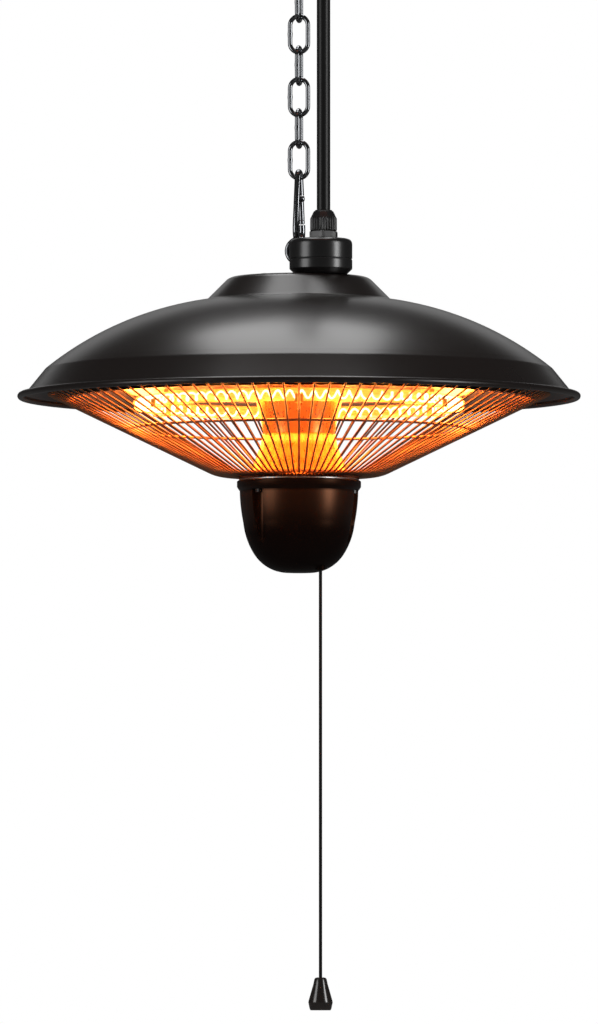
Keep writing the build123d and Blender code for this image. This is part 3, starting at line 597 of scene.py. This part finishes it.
def bulged(start, end, bulge, count):
    """Points on a true arc between two points that stands out by the bulge."""
    start, end = Vector(start), Vector(end)
    span = end - start
    out = Vector((-span.y, span.x)).normalized()
    radius = (span.length ** 2 / 4 + bulge ** 2) / (2 * bulge)
    centre = (start + end) / 2 + out * (bulge - radius)
    first = (start - centre).angle_signed(end - centre)
    result = []
    for i in range(count + 1):
        turn = -first * i / count
        offset = start - centre
        result.append((centre.x + offset.x * cos(turn) - offset.y * sin(turn),
                       centre.y + offset.x * sin(turn) + offset.y * cos(turn)))
    return result


def thickened(skin, wall):
    """A sheet's outline, counter-clockwise, from its outside, which has the wall on its right."""
    inside = []
    for i, point in enumerate(skin):
        before, after = Vector(skin[max(i - 1, 0)]), Vector(skin[min(i + 1, len(skin) - 1)])
        way = (after - before).normalized()
        inside.append((point[0] + way.y * wall, point[1] - way.x * wall))
    return inside + list(skin)[::-1]


fall = atan2(cap_corner[1] - cap_slope_end[1], cap_slope_end[0] - cap_corner[0])
setback = cap_edge * tan(fall / 2)
edge_start = (cap_corner[0] - setback, cap_corner[1])
edge_end = (cap_corner[0] + setback * cos(fall), cap_corner[1] - setback * sin(fall))
dome = bulged(cap_slope_end, crease, dome_bulge, 40)
skin = [(cap_hole, cap_corner[1]), *bulged(edge_start, edge_end, cap_edge * (1 - cos(fall / 2)), 12)]
skin += rounded([edge_end, cap_slope_end, dome[2]], fold, 6, False)[1:-1] + dome[3:-2]
skin += rounded([dome[-3], crease, skirt, (brim_radius - 2.4, skirt[1])], fold, 6, False)
roll = []
for i in range(bead_steps):
    turn = 2 * pi * i / bead_steps
    roll.append((brim_radius - bead + bead * cos(turn), bead_rise + bead * sin(turn)))
shell = mesh_of(*[spun(outline, brim, sides=240) for outline in (thickened(skin, sheet), roll)])
piece("shade_shell", shell, "heater", "black_satin_steel", black_coat, "shade")


# Junction box
# A round black polyamide box on the cap: a base with a chamfered foot, a thin sealing ring
# in a groove and a cover with a rounded shoulder. A terminal block stands inside.

box_x, box_y = 16.5, -28.0
box_radius = 23.7
box_foot = 19.5
box_seam = 11.0
box_seal = 0.8
box_height = 27.0
box_wall = 2.0
cover_corner = 5.2

black_moulding, tree = material("satin_moulded_black_polyamide")
# Glass-filled polyamide from a spark-eroded mould: near black, a satin skin with a grain of 0.4 mm
spot = add(tree, "ShaderNodeTexCoord").outputs["Object"]
spark = noise(tree, spot, 0.0008, 3.0)
flow = noise(tree, spot, 0.02, 2.0)
tone = blend(tree, flow, "#0e0d0d", "#151414")
bump = add(tree, "ShaderNodeBump", {"Height": spark, "Strength": 0.12, "Distance": 0.00005})
surface(tree, {
    "Base Color": tone,
    "Roughness": 0.28,
    "IOR": 1.53,
    "Specular IOR Level": 0.95,
    "Normal": bump.outputs["Normal"],
})

inner = box_radius - box_wall
box_at = cap_top, box_x, box_y
base = rounded([(1, 0), (box_foot, 0), (box_radius, 4.1), (box_radius, box_seam),
                (inner, box_seam), (inner, 5), (1, 5)], 0.5, 4)
piece("box_base_cup", mesh_of(spun(base, *box_at)), "heater", "black_satin_steel", black_moulding,
      "junction_box_base")
low = box_seam + box_seal
top = [(box_radius, low + 1), (box_radius, box_height), (1, box_height)]
cover = [(1, box_height - box_wall), (inner, box_height - 6), (inner, low),
         (box_radius - 0.3, low), (box_radius, low + 0.3)] + rounded(top, cover_corner, 10, False)[1:]
piece("box_cover_cap", mesh_of(spun(cover, *box_at)), "heater", "black_satin_steel", black_moulding,
      "junction_box_cover")

black_rubber, tree = material("matt_black_rubber")
# Moulded EPDM: a dull bloom over deep black, grain of 0.3 mm
spot = add(tree, "ShaderNodeTexCoord").outputs["Object"]
bloom = noise(tree, spot, 0.006, 4.0)
grain = noise(tree, spot, 0.0006, 2.0)
tone = blend(tree, bloom, "#0d0d0d", "#171716")
bump = add(tree, "ShaderNodeBump", {"Height": grain, "Strength": 0.15, "Distance": 0.00005})
surface(tree, {
    "Base Color": tone,
    "Roughness": 0.55,
    "IOR": 1.5,
    "Normal": bump.outputs["Normal"],
})

seal = [(20.5, box_seam), (box_radius - 0.5, box_seam), (box_radius - 0.5, low), (20.5, low)]
piece("box_seal_ring", mesh_of(spun(seal, *box_at)), "heater", "black_rubber", black_rubber,
      "junction_box_seal")
refinish(black_moulding, "terminal_block")


# Cap screws
# Three pan-head screws of dull zinc plated steel, which go down through the shade's cap into
# the posts under it.

screw_circle = 40.0
screw_angles = [radians(a) for a in (-10.0, 110.0, 230.0)]

head = rounded([(0.2, 0), (3.4, 0), (3.2, 0.6), (0.2, 1.0)], 0.3, 4)
heads = [spun(head, cap_top, screw_circle * cos(a), screw_circle * sin(a), 40) for a in screw_angles]
piece("cap_screw_heads", mesh_of(*heads), "heater", "plain_steel", zinc_steel, "cap_screws")


# Cable glands
# One on the box and one hanging from the ceiling cover: a hexagon body, a ribbed dome nut
# and the rubber seal that it squeezes on to the cable. Moulded nylon.

cable_x, cable_y = 18.5, -28.0
cable = 10.2
gland_hex = 5.7
gland_flats = 20.0
gland_nut = 10.1
gland_nut_height = 10.6
gland_dome = 4.6
seal_inner, seal_outer = 5.3, 6.4
seal_top = gland_hex + gland_nut_height + gland_dome + 0.8
gland_ribs = 30
rib_depth = 0.75
gland_bore = 5.4
gland_chamfer = 0.7
gland_turn = radians(-7)


def ribbed_nut(face, up):
    """The dome nut, its ribs fading out at the shoulder, by radius, height and share of the ribs."""
    rows = [(gland_bore, 0.0, 0.0), (9.2, 0.0, 0.0), (9.9, 0.5, 0.0), (gland_nut, 0.9, 1.0),
            (gland_nut, 9.2, 1.0), (9.9, 10.0, 0.7), (9.4, 10.8, 0.2), (8.8, 12.0, 0.0),
            (8.2, 13.4, 0.0), (7.6, 14.6, 0.0), (7.1, 15.2, 0.0), (6.4, 15.2, 0.0)]

    def place(angle, radius, height, ribbed):
        reach = radius - (0.5 - 0.5 * cos(gland_ribs * angle)) ** 2 * rib_depth * ribbed
        rise = gland_hex + height if up else -gland_hex - height
        return cable_x + reach * cos(angle), cable_y + reach * sin(angle), face + rise

    return mesh_of(rings(rows, gland_ribs * 8, place, flip=not up))


for name, node, body, face, up in (
    ("box_gland", "gland", "heater", cap_top + box_height, True),
    ("ceiling_gland", "rose_gland", "ceiling_fitting", -rose_depth, False),
):
    low, high = (face, face + gland_hex) if up else (face - gland_hex, face)
    collar = hex_nut(gland_flats, low, high, gland_bore, cable_x, cable_y, gland_chamfer, gland_turn)
    piece(f"{name}_hexagon", collar, body, "black_nylon", black_moulding, f"{node}_body")
    piece(f"{name}_nut", ribbed_nut(face, up), body, "black_nylon", black_moulding, f"{node}_dome_nut")
    ring = rounded([(seal_inner, gland_hex), (seal_outer, gland_hex),
                    (seal_outer, seal_top), (seal_inner, seal_top)], 0.4, 4)
    ring = ring if up else [(r, -z) for r, z in reversed(ring)]
    seal = mesh_of(spun(ring, face, cable_x, cable_y, 64))
    piece(f"{name}_seal", seal, body, "black_rubber", black_rubber, f"{node}_seal")
refinish(black_moulding, "gland_locknut", "rose_gland_locknut")


# Mains cable
# A round rubber-sheathed cable that drops straight from the ceiling gland to the gland on
# the box. Its top is held by the ceiling gland and its foot by the heater.

gland_reach = 21.7
straight_run, bend_run = 12.0, 50.0
cable_low = cap_top + box_height + gland_reach
cable_high = -rose_depth - gland_reach

cable_sheath, tree = material("black_rubber_cable_sheath")
# Extruded rubber has a soft sheen and faint lines along its length, 0.7 mm apart
spot = add(tree, "ShaderNodeTexCoord").outputs["Object"]
stretched = add(tree, "ShaderNodeMapping", {
    "Vector": spot,
    "Scale": (1 / 0.0014, 1 / 0.0014, 1 / 0.05),
})
lines = noise(tree, stretched.outputs[0], 1.0, 3.0)
tone = blend(tree, lines, "#0b0b0b", "#151515")
bump = add(tree, "ShaderNodeBump", {"Height": lines, "Strength": 0.1, "Distance": 0.00008})
surface(tree, {
    "Base Color": tone,
    "Roughness": 0.36,
    "Specular IOR Level": 0.4,
    "Normal": bump.outputs["Normal"],
})


def cord_line(points, diameter):
    """A smooth cord along its control points, in millimetres."""
    curve = bpy.data.curves.new("wire", "CURVE")
    curve.dimensions = "3D"
    curve.bevel_depth = 1.0
    curve.bevel_resolution = 6
    curve.use_fill_caps = True
    curve.resolution_u = 16
    spline = curve.splines.new("NURBS")
    spline.points.add(len(points) - 1)
    for i, point in enumerate(points):
        spline.points[i].co = (*[c * MM for c in point], 1.0)
        spline.points[i].radius = diameter / 2 * MM
    spline.order_u = 3
    spline.use_endpoint_u = True
    spline.use_smooth = True
    return curve


points = [(cable_x, cable_y, z) for z in (
    cable_low, cable_low + straight_run, cable_low + bend_run,
    cable_high - bend_run, cable_high - straight_run, cable_high)]
mains = piece("mains_cable_sheath", cord_line(points, cable), "heater", "black_rubber", cable_sheath,
              "mains_cable")
bpy.context.view_layer.update()
# Its upper half follows the ceiling fitting, so that it bends between the glands as the heater swings
grip = mains.modifiers.new("ceiling_grip", "HOOK")
grip.object = frame["bodies"]["ceiling_fitting"]
grip.matrix_inverse = grip.object.matrix_world.inverted() @ mains.matrix_world
grip.vertex_indices_set([3, 4, 5])
tuple(c * MM for c in points[0])


# Posts and reflector
# Three hexagon posts hang the reflector from the cap. The reflector is rolled bright
# aluminium with fine pressed ribs that run out to a turned-down rim, and throws the heat down.

reflector_face = 3.0
reflector_radius = 177.0
reflector_flat = 168.0
reflector_rim = -1.5
reflector_sheet = 0.8
reflector_ribs, pressed_depth = 90, 0.55
centre_hole = 5.1

mirror_aluminium, tree = material("bright_rolled_aluminium_painted_glow")
# Bright rolled sheet: a mirror with a faint drawn haze, its colour warmed all over as a painted glow of the
# lamp
spot = add(tree, "ShaderNodeTexCoord").outputs["Object"]
haze = noise(tree, spot, 0.012, 5.0)
# The peach tone is a painted orange glow of the lamp, not the metal's own colour
tone = blend(tree, haze, "#e8c8a4", "#f4dcc0")
rough = add(tree, "ShaderNodeMapRange", {"Value": haze, "To Min": 0.24, "To Max": 0.36})
bump = add(tree, "ShaderNodeBump", {"Height": haze, "Strength": 0.3, "Distance": 0.0012})
surface(tree, {
    "Base Color": tone,
    "Metallic": 1.0,
    "Roughness": rough.outputs["Result"],
    "Normal": bump.outputs["Normal"],
})


def dish_point(angle, radius, height, ribbed):
    """A point of the reflector, by radius, height over the brim and share of the ribs."""
    dip = pressed_depth * ribbed * (0.5 + 0.5 * cos(reflector_ribs * angle))
    return radius * cos(angle), radius * sin(angle), brim + height - dip


back = reflector_face + reflector_sheet
rows = [(radius, reflector_face, ribbed) for radius, ribbed in (
    (centre_hole, 0), (44, 0), (60, 1), (90, 1), (118, 1), (145, 1), (162, 0.6), (reflector_flat, 0))]
rows += [(reflector_radius - reflector_sheet, reflector_rim, 0), (reflector_radius, reflector_rim, 0)]
rows += [(reflector_flat + 0.4, back, 0), (60, back, 0), (centre_hole, back, 0)]
dish = mesh_of(rings(rows, reflector_ribs * 6, dish_point))
piece("reflector_dish", dish, "heater", "mirror_aluminium", mirror_aluminium, "reflector")
refinish(zinc_steel, "frame_posts", "reflector_screws")


# Ring lamp
# A clear quartz tube bent to a ring with a gap, a wound resistance wire glowing inside it,
# two ceramic ends and bent steel clips. The glass itself is lit amber by the wire.

lamp_radius = 120.5
lamp_z = brim - 5.0
lamp_tube = 10.0
lamp_gap = 9.0
coil_turns = 80
coil_radius = 2.9
coil_wire = 1.5
coil_steps = 14
light_count, light_drop = 18, 7.0

lit_quartz, tree = material("clear_quartz_lit_amber")
# The hot wire fills the tube with light, so the glass glows deep amber at its edges and pale in front
edge = add(tree, "ShaderNodeLayerWeight", {"Blend": 0.35})
tone = blend(tree, edge.outputs["Facing"], "#ffb34a", "#ff8420")
surface(tree, {
    "Base Color": linear("#ff9c40"),
    "Roughness": 0.08,
    "IOR": 1.46,
    "Alpha": 0.55,
    "Emission Color": tone,
    "Emission Strength": 0.75,
})

hot_wire, tree = material("white_hot_resistance_wire")
# Iron-chromium wire at about 1100 degrees, with paler stretches about 6 mm long
spot = add(tree, "ShaderNodeTexCoord").outputs["Object"]
beads = noise(tree, spot, 0.006, 1.0)
tone = blend(tree, beads, "#ffdf9c", "#fff0c8")
surface(tree, {
    "Base Color": linear("#402818"),
    "Roughness": 0.6,
    "Emission Color": tone,
    "Emission Strength": 6.0,
})

white_ceramic, tree = material("plain_fired_steatite")
# Steatite insulators: off-white, dry, a little mottled by the kiln
spot = add(tree, "ShaderNodeTexCoord").outputs["Object"]
mottle = noise(tree, spot, 0.003, 4.0)
tone = blend(tree, mottle, "#d9d3c8", "#ece8df")
bump = add(tree, "ShaderNodeBump", {"Height": mottle, "Strength": 0.15, "Distance": 0.0001})
surface(tree, {"Base Color": tone, "Roughness": 0.6, "Normal": bump.outputs["Normal"]})

start, sweep = radians(90 + lamp_gap), radians(360 - 2 * lamp_gap)


def level_arc(radius, z, count, start=0.0, sweep=2 * pi):
    """Points in steps on a level arc about the heater's axis, the last one left out on a full turn."""
    turns = [start + sweep * i / count for i in range(count if sweep == 2 * pi else count + 1)]
    return [(radius * cos(turn), radius * sin(turn), z) for turn in turns]


tube = wire([level_arc(lamp_radius, lamp_z, 200, start, sweep)], lamp_tube, fineness=8)
piece("quartz_ring", tube, "heater", "lamp_glass", lit_quartz, "lamp_glass_tube")
line = []
for i in range(coil_turns * coil_steps + 1):
    turn = start + sweep * i / (coil_turns * coil_steps)
    wind = 2 * pi * i / coil_steps
    reach = lamp_radius + coil_radius * cos(wind)
    line.append((reach * cos(turn), reach * sin(turn), lamp_z + coil_radius * sin(wind)))
piece("heating_coil", wire([line], coil_wire, fineness=2), "heater", "glowing_filament", hot_wire, "filament")
refinish(white_ceramic, "lamp_end_caps")

hot_steel, tree = material("steel_clip_with_painted_lamp_glow")
# Spring steel that grips the hot tube: straw and blue temper, with a painted dull orange glow for the tube's
# light on it
spot = add(tree, "ShaderNodeTexCoord").outputs["Object"]
tint_noise = noise(tree, spot, 0.005, 3.0)
tone = blend(tree, tint_noise, "#a86c48", "#c89060")
# The orange emission is painted light from the tube; the clip itself gives none
surface(tree, {
    "Base Color": tone,
    "Metallic": 1.0,
    "Roughness": 0.4,
    "Emission Color": linear("#ff8a28"),
    "Emission Strength": 0.55,
})
refinish(hot_steel, "lamp_clips")

for number in range(light_count):
    turn = start + sweep * (number + 0.5) / light_count
    light = bpy.data.lights.new(f"lamp_light_{number}", "POINT")
    light.energy = 0.16
    light.shadow_soft_size = 0.012
    light.color = linear("#ff9638")[:3]
    lamp = placed(light.name, light)
    lamp.location = Vector((lamp_radius * cos(turn), lamp_radius * sin(turn), lamp_z - light_drop)) * MM
    lamp.visible_camera = False
    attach(lamp, "heater")


# Column
# Two spun sheets of bright aluminium round the centre tube, waisted where they meet in a
# rolled seam, which carry the light of the lamp down to the bowl.

column_top, column_waist, column_foot = 34.0, 27.0, 39.0
waist_z = -28.7
column_sheet = 0.8
plate_top = -60.4

column_aluminium, tree = material("polished_aluminium_column_painted_glow")
# Polished sheet with the fine upright lines of its rolling, 1 mm apart, coloured orange as a painted
# reflection of the lamp's glow
spot = add(tree, "ShaderNodeTexCoord").outputs["Object"]
stretched = add(tree, "ShaderNodeMapping", {
    "Vector": spot,
    "Scale": (1 / 0.002, 1 / 0.002, 1 / 0.06),
})
lines = noise(tree, stretched.outputs[0], 1.0, 3.0)
# The orange tone is a painted reflection of the lamp's glow
tone = blend(tree, lines, "#f09a50", "#ffb468")
rough = add(tree, "ShaderNodeMapRange", {"Value": lines, "To Min": 0.22, "To Max": 0.34})
surface(tree, {"Base Color": tone, "Metallic": 1.0, "Roughness": rough.outputs["Result"]})

upper = [(column_top, reflector_face), (32.0, -5), (29.2, -16), (27.6, -24), (column_waist, waist_z + 0.8)]
lower = [(column_waist + 0.6, waist_z + 0.6), (column_waist + 1.0, waist_z - 0.6), (28.6, -35), (33, -47),
         (column_foot, plate_top)]
for name, node, skin in (
    ("column_top_sheet", "column_upper", rounded(upper, 6, 5, False)),
    ("column_foot_sheet", "column_lower", rounded(lower, 3, 4, False)),
):
    data = mesh_of(spun(thickened(skin, column_sheet), brim))
    piece(name, data, "heater", "mirror_aluminium", column_aluminium, node)
refinish(zinc_steel, "centre_tube", "tube_nut")


# Wire guard
# A hundred bright wires spot welded to three rings. Each runs from the rim ring straight
# down and in, bends gently at the foot and ends on the edge of the column's plate.

guard_wire = 1.6
guard_count = 100
guard_rim, guard_rim_z = 190.0, 2.3
guard_bend, guard_end = 62.0, 41.5
rim_ring, mid_ring, hub_ring = (187.0, 3.0), (131.1, 2.0), (43.5, 2.0)
guard_flat_z = plate_top + guard_wire / 2

guard_steel, tree = material("bright_steel_wire_painted_lamp_glow")
# Bright wire, its bronze colour a painted glow of the lamp's orange light
spot = add(tree, "ShaderNodeTexCoord").outputs["Object"]
tint_noise = noise(tree, spot, 0.03, 3.0)
# The bronze tone is a painted glow of the lamp's light on bright wire
tone = blend(tree, tint_noise, "#946c54", "#b48a70")
surface(tree, {"Base Color": tone, "Metallic": 1.0, "Roughness": 0.42})

corners = [(guard_rim, guard_rim_z), (guard_bend, guard_flat_z), (guard_end, guard_flat_z)]
profile = rounded(corners, 12, 8, False)
runs = []
for i in range(guard_count):
    angle = 2 * pi * i / guard_count
    runs.append([(r * cos(angle), r * sin(angle), z + brim) for r, z in profile])
piece("guard_wire_cage", wire(runs, guard_wire, fineness=3), "heater", "guard_chrome", guard_steel,
      "guard_wires")
guard_slope = atan2(guard_rim_z - guard_flat_z, guard_rim - guard_bend)
for name, node, (radius, ring_wire) in (
    ("guard_rim_wire", "guard_rim_ring", rim_ring),
    ("guard_mid_wire", "guard_mid_ring", mid_ring),
):
    height = guard_rim_z - (guard_rim - radius) * tan(guard_slope)
    lift = (guard_wire + ring_wire) / 2
    reach, height = radius - lift * sin(guard_slope), height + lift * cos(guard_slope)
    data = wire([level_arc(reach, height + brim, 160)], ring_wire, True, 4)
    piece(name, data, "heater", "guard_chrome", guard_steel, node)
radius, ring_wire = hub_ring
data = wire([level_arc(radius, brim + plate_top + guard_wire + ring_wire / 2, 120)], ring_wire, True, 4)
piece("guard_hub_wire", data, "heater", "guard_chrome", guard_steel, "guard_hub_ring")
refinish(zinc_steel, "guard_clips")


# Retaining plate
# A round steel plate under the column, which the nut of the centre tube holds up. Its edge is
# crimped in at each wire of the guard, and the wires end on its upper face.

plate_radius, plate_thickness, crimp_depth = 45.4, 3.0, 0.9

painted_shade_steel, tree = material("steel_edge_painted_shade")
# The upper face and the crimped edge are painted brown-black as shade under the ends of the guard's wires
spot = add(tree, "ShaderNodeTexCoord").outputs["Object"]
shade_mottle = noise(tree, spot, 0.004, 3.0)
tone = blend(tree, shade_mottle, "#2a1610", "#4a2c20")
surface(tree, {"Base Color": tone, "Metallic": 1.0, "Roughness": 0.45})


def plate_point(angle, radius, height, crimped):
    """A point of the retaining plate, by radius, height over its top and share of the crimp."""
    reach = radius - crimp_depth * crimped * (0.5 + 0.5 * cos(guard_count * angle))
    return reach * cos(angle), reach * sin(angle), brim + plate_top + height


rows = [(centre_hole, 0, 0), (plate_radius, 0, 1), (plate_radius, -1.8, 1), (plate_radius, -1.9, 0),
        (plate_radius, -2.7, 0), (plate_radius - 0.3, -plate_thickness, 0),
        (centre_hole, -plate_thickness, 0)]
sides = guard_count * 6
mesh = mesh_of(rings(rows, sides, plate_point, flip=True))
piece("retaining_plate_crimped", mesh, "heater", "guard_chrome", zinc_steel, "retaining_plate")
mesh.materials.append(painted_shade_steel)
# The upper face and the crimped edge take the painted shade
for face in mesh.polygons:
    face.material_index = 1 if face.index < 2 * sides else 0


# Control bowl
# A moulded phenolic bowl with a collar, three screw channels down its side and a soft
# rounded foot. It carries the pull switch, and its satin black skin has a painted brown reflection of the
# glow.

bowl_top = -63.4
bowl_depth = 69.4
bowl_collar, bowl_collar_height = 46.9, 7.6
bowl_neck = 44.8
channel = 4.5
channel_circle = 42.3
channels = [radians(a) for a in (-15.0, 105.0, 225.0)]

bowl_moulding, tree = material("satin_black_phenolic_painted_sheen")
# Phenolic from a polished mould: deep brown-black, satin, with a faint flow mottle, and a painted
# brown sheen for the reflected glow, strongest under the collar and fading towards the foot
spot = add(tree, "ShaderNodeTexCoord").outputs["Object"]
flow = noise(tree, spot, 0.015, 3.0)
grain = noise(tree, spot, 0.0008, 2.0)
tone = blend(tree, flow, "#070505", "#0c0706")
parts = add(tree, "ShaderNodeSeparateXYZ", {"Vector": spot})
# Painted reflection of the glow: the specular level falls off with height and the specular tint is brown
painted_sheen = add(tree, "ShaderNodeMapRange", {
    "Value": parts.outputs["Z"],
    "From Min": (brim + bowl_top - 42) * MM,
    "From Max": (brim + bowl_top - 8) * MM,
    "To Min": 0.04,
    "To Max": 1.0,
}, interpolation_type="SMOOTHSTEP")
collar = add(tree, "ShaderNodeMapRange", {
    "Value": parts.outputs["Z"],
    "From Min": (brim + bowl_top - 9.5) * MM,
    "From Max": (brim + bowl_top - 7.5) * MM,
    "To Min": 1.0,
    "To Max": 0.25,
})
gloss = add(tree, "ShaderNodeMath", {
    0: painted_sheen.outputs["Result"],
    1: collar.outputs["Result"],
}, operation="MULTIPLY")
bump = add(tree, "ShaderNodeBump", {"Height": grain, "Strength": 0.08, "Distance": 0.00005})
surface(tree, {
    "Base Color": tone,
    "Roughness": 0.33,
    "Specular IOR Level": gloss.outputs[0],
    "Specular Tint": linear("#f5a477"),
    "Normal": bump.outputs["Normal"],
})

skin = [(bowl_collar - 0.6, bowl_top), (bowl_collar, bowl_top - 0.6), (bowl_collar, bowl_top - 4.6),
        (46.2, bowl_top - 5.8), (45.2, bowl_top - 7.2), (bowl_neck, bowl_top - bowl_collar_height)]
waist, hip, foot_point = (42.1, bowl_top - 31.9), (34.5, bowl_top - 54.5), (17.0, bowl_top - 68.3)
skin += bulged((bowl_neck, bowl_top - 8.6), waist, 0.5, 16)
skin += bulged(waist, hip, 1.3, 14)[1:]
skin += bulged(hip, foot_point, 2.1, 14)[1:]
skin += rounded([foot_point, (12.0, bowl_top - bowl_depth), (0.4, bowl_top - bowl_depth)], 5, 6, False)[1:]


def bowl_point(angle, radius, height):
    """A point of the bowl's skin, set in where a screw channel runs down the side."""
    for place in channels if height < bowl_top - bowl_collar_height + 0.1 else []:
        gap = (angle - place + pi) % (2 * pi) - pi
        inside = channel ** 2 - (channel_circle * sin(gap)) ** 2 if abs(gap) < pi / 3 else -1
        if inside > 0:
            radius = min(radius, channel_circle * cos(gap) - sqrt(inside))
    return radius * cos(angle), radius * sin(angle), brim + height


sides = 360
points, faces = rings(skin, sides, bowl_point, closed=False, flip=True)
faces += [tuple(reversed(range(len(points) - sides, len(points)))), tuple(range(sides))]


def drilled(mesh, x, y, radius, low, high, sides=48):
    """A closed mesh with a round upright hole drilled through it."""
    points, faces = rings([(low,), (high,)], sides, lambda angle, z: (
        x + radius * cos(angle), y + radius * sin(angle), z), closed=False)
    drill = mesh_of((points, faces + [tuple(reversed(range(sides))), tuple(range(sides, 2 * sides))]))
    blank, cutter = placed("blank", mesh), placed("cutter", drill)
    cut = blank.modifiers.new("hole", "BOOLEAN")
    cut.operation, cut.object, cut.solver = "DIFFERENCE", cutter, "EXACT"
    graph = bpy.context.evaluated_depsgraph_get()
    result = bpy.data.meshes.new_from_object(blank.evaluated_get(graph))
    for made in (blank, cutter):
        bpy.data.objects.remove(made)
    for old in (mesh, drill):
        bpy.data.meshes.remove(old)
    return smooth(result)


cord_x, cord_y = 16.2, -14.0
bushing_hole = 3.6
low, high = brim + bowl_top - bowl_depth - 1, brim + bowl_top + 1
bowl = drilled(mesh_of((points, faces)), cord_x, cord_y, bushing_hole, low, high)
piece("bowl_moulding", bowl, "heater", "black_bowl", bowl_moulding, "bowl")
refinish(zinc_steel, "switch_pin", "arm_spring")
refinish(black_coat, "bowl_screws")
refinish(black_moulding, "switch_body", "switch_arm")
refinish(bowl_moulding, "cord_bushing")


# Pull cord and pull
# A braided black cord runs from its knot on the switch arm, out through a bushing in the
# foot of the bowl, and down to a small glossy moulded pull.

cord = 2.5
cord_exit = -490.1
cord_length = 309.6

braid, tree = material("braided_black_polyester_cord")
# Strands that cross about each millimetre along the cord and catch a little light
spot = add(tree, "ShaderNodeTexCoord").outputs["Object"]
strands = add(tree, "ShaderNodeTexWave", {
    "Vector": spot,
    "Scale": 1 / 0.0032,
    "Distortion": 2.0,
    "Detail": 1.0,
}, bands_direction="DIAGONAL")
tone = blend(tree, strands.outputs["Fac"], "#030303", "#0b0b0b")
bump = add(tree, "ShaderNodeBump", {"Height": strands.outputs["Fac"], "Strength": 0.4, "Distance": 0.0002})
surface(tree, {
    "Base Color": tone,
    "Roughness": 0.6,
    "Specular IOR Level": 0.25,
    "Normal": bump.outputs["Normal"],
})

glossy_pull, tree = material("glossy_black_brown_moulding")
# Polished ABS with a hard gloss, near black with a brown cast
spot = add(tree, "ShaderNodeTexCoord").outputs["Object"]
flow = noise(tree, spot, 0.01, 2.0)
tone = blend(tree, flow, "#120d0b", "#1c1512")
surface(tree, {
    "Base Color": tone,
    "Roughness": 0.2,
    "IOR": 1.54,
    "Specular IOR Level": 0.9,
    "Coat Weight": 0.3,
    "Coat Roughness": 0.08,
})

bell_top = cord_exit - cord_length
outline = [(1.3, -22.5), (6.0, -23.0), (6.4, -24.6), (7.2, -24.8), (7.7, -24.6),
           (8.2, -23.6), (9.0, -19.8), (9.2, -18.8), (9.0, -17.6), (7.4, -12.0),
           (5.4, -5.0), (4.7, -1.6), (4.1, -0.5), (2.6, 0.0), (1.3, 0.0)]
bell = mesh_of(spun(outline, bell_top, cord_x, cord_y, 96))
bell = piece("pull_bell_moulding", bell, "pull_swing", "black_bell", glossy_pull, "pull_bell")
drops = [0.13, 0.37, 0.65, 0.9, 1.2] + [cord_length * share for share in (0.05, 0.35, 0.65, 0.95, 1)]
points = [(cord_x, cord_y, cord_exit - drop) for drop in drops]
pull = piece("pull_cord_braid", cord_line(points, cord), "pull_swing", "black_cord", braid, "pull_cord")
for point, share in zip(pull.data.splines[0].points, (0.2, 0.58)):
    point.radius *= share  # the cord narrows where it bends, clear of the straight run above it
tuple(c * MM for c in points[0])
refinish(braid, "pull_stem")
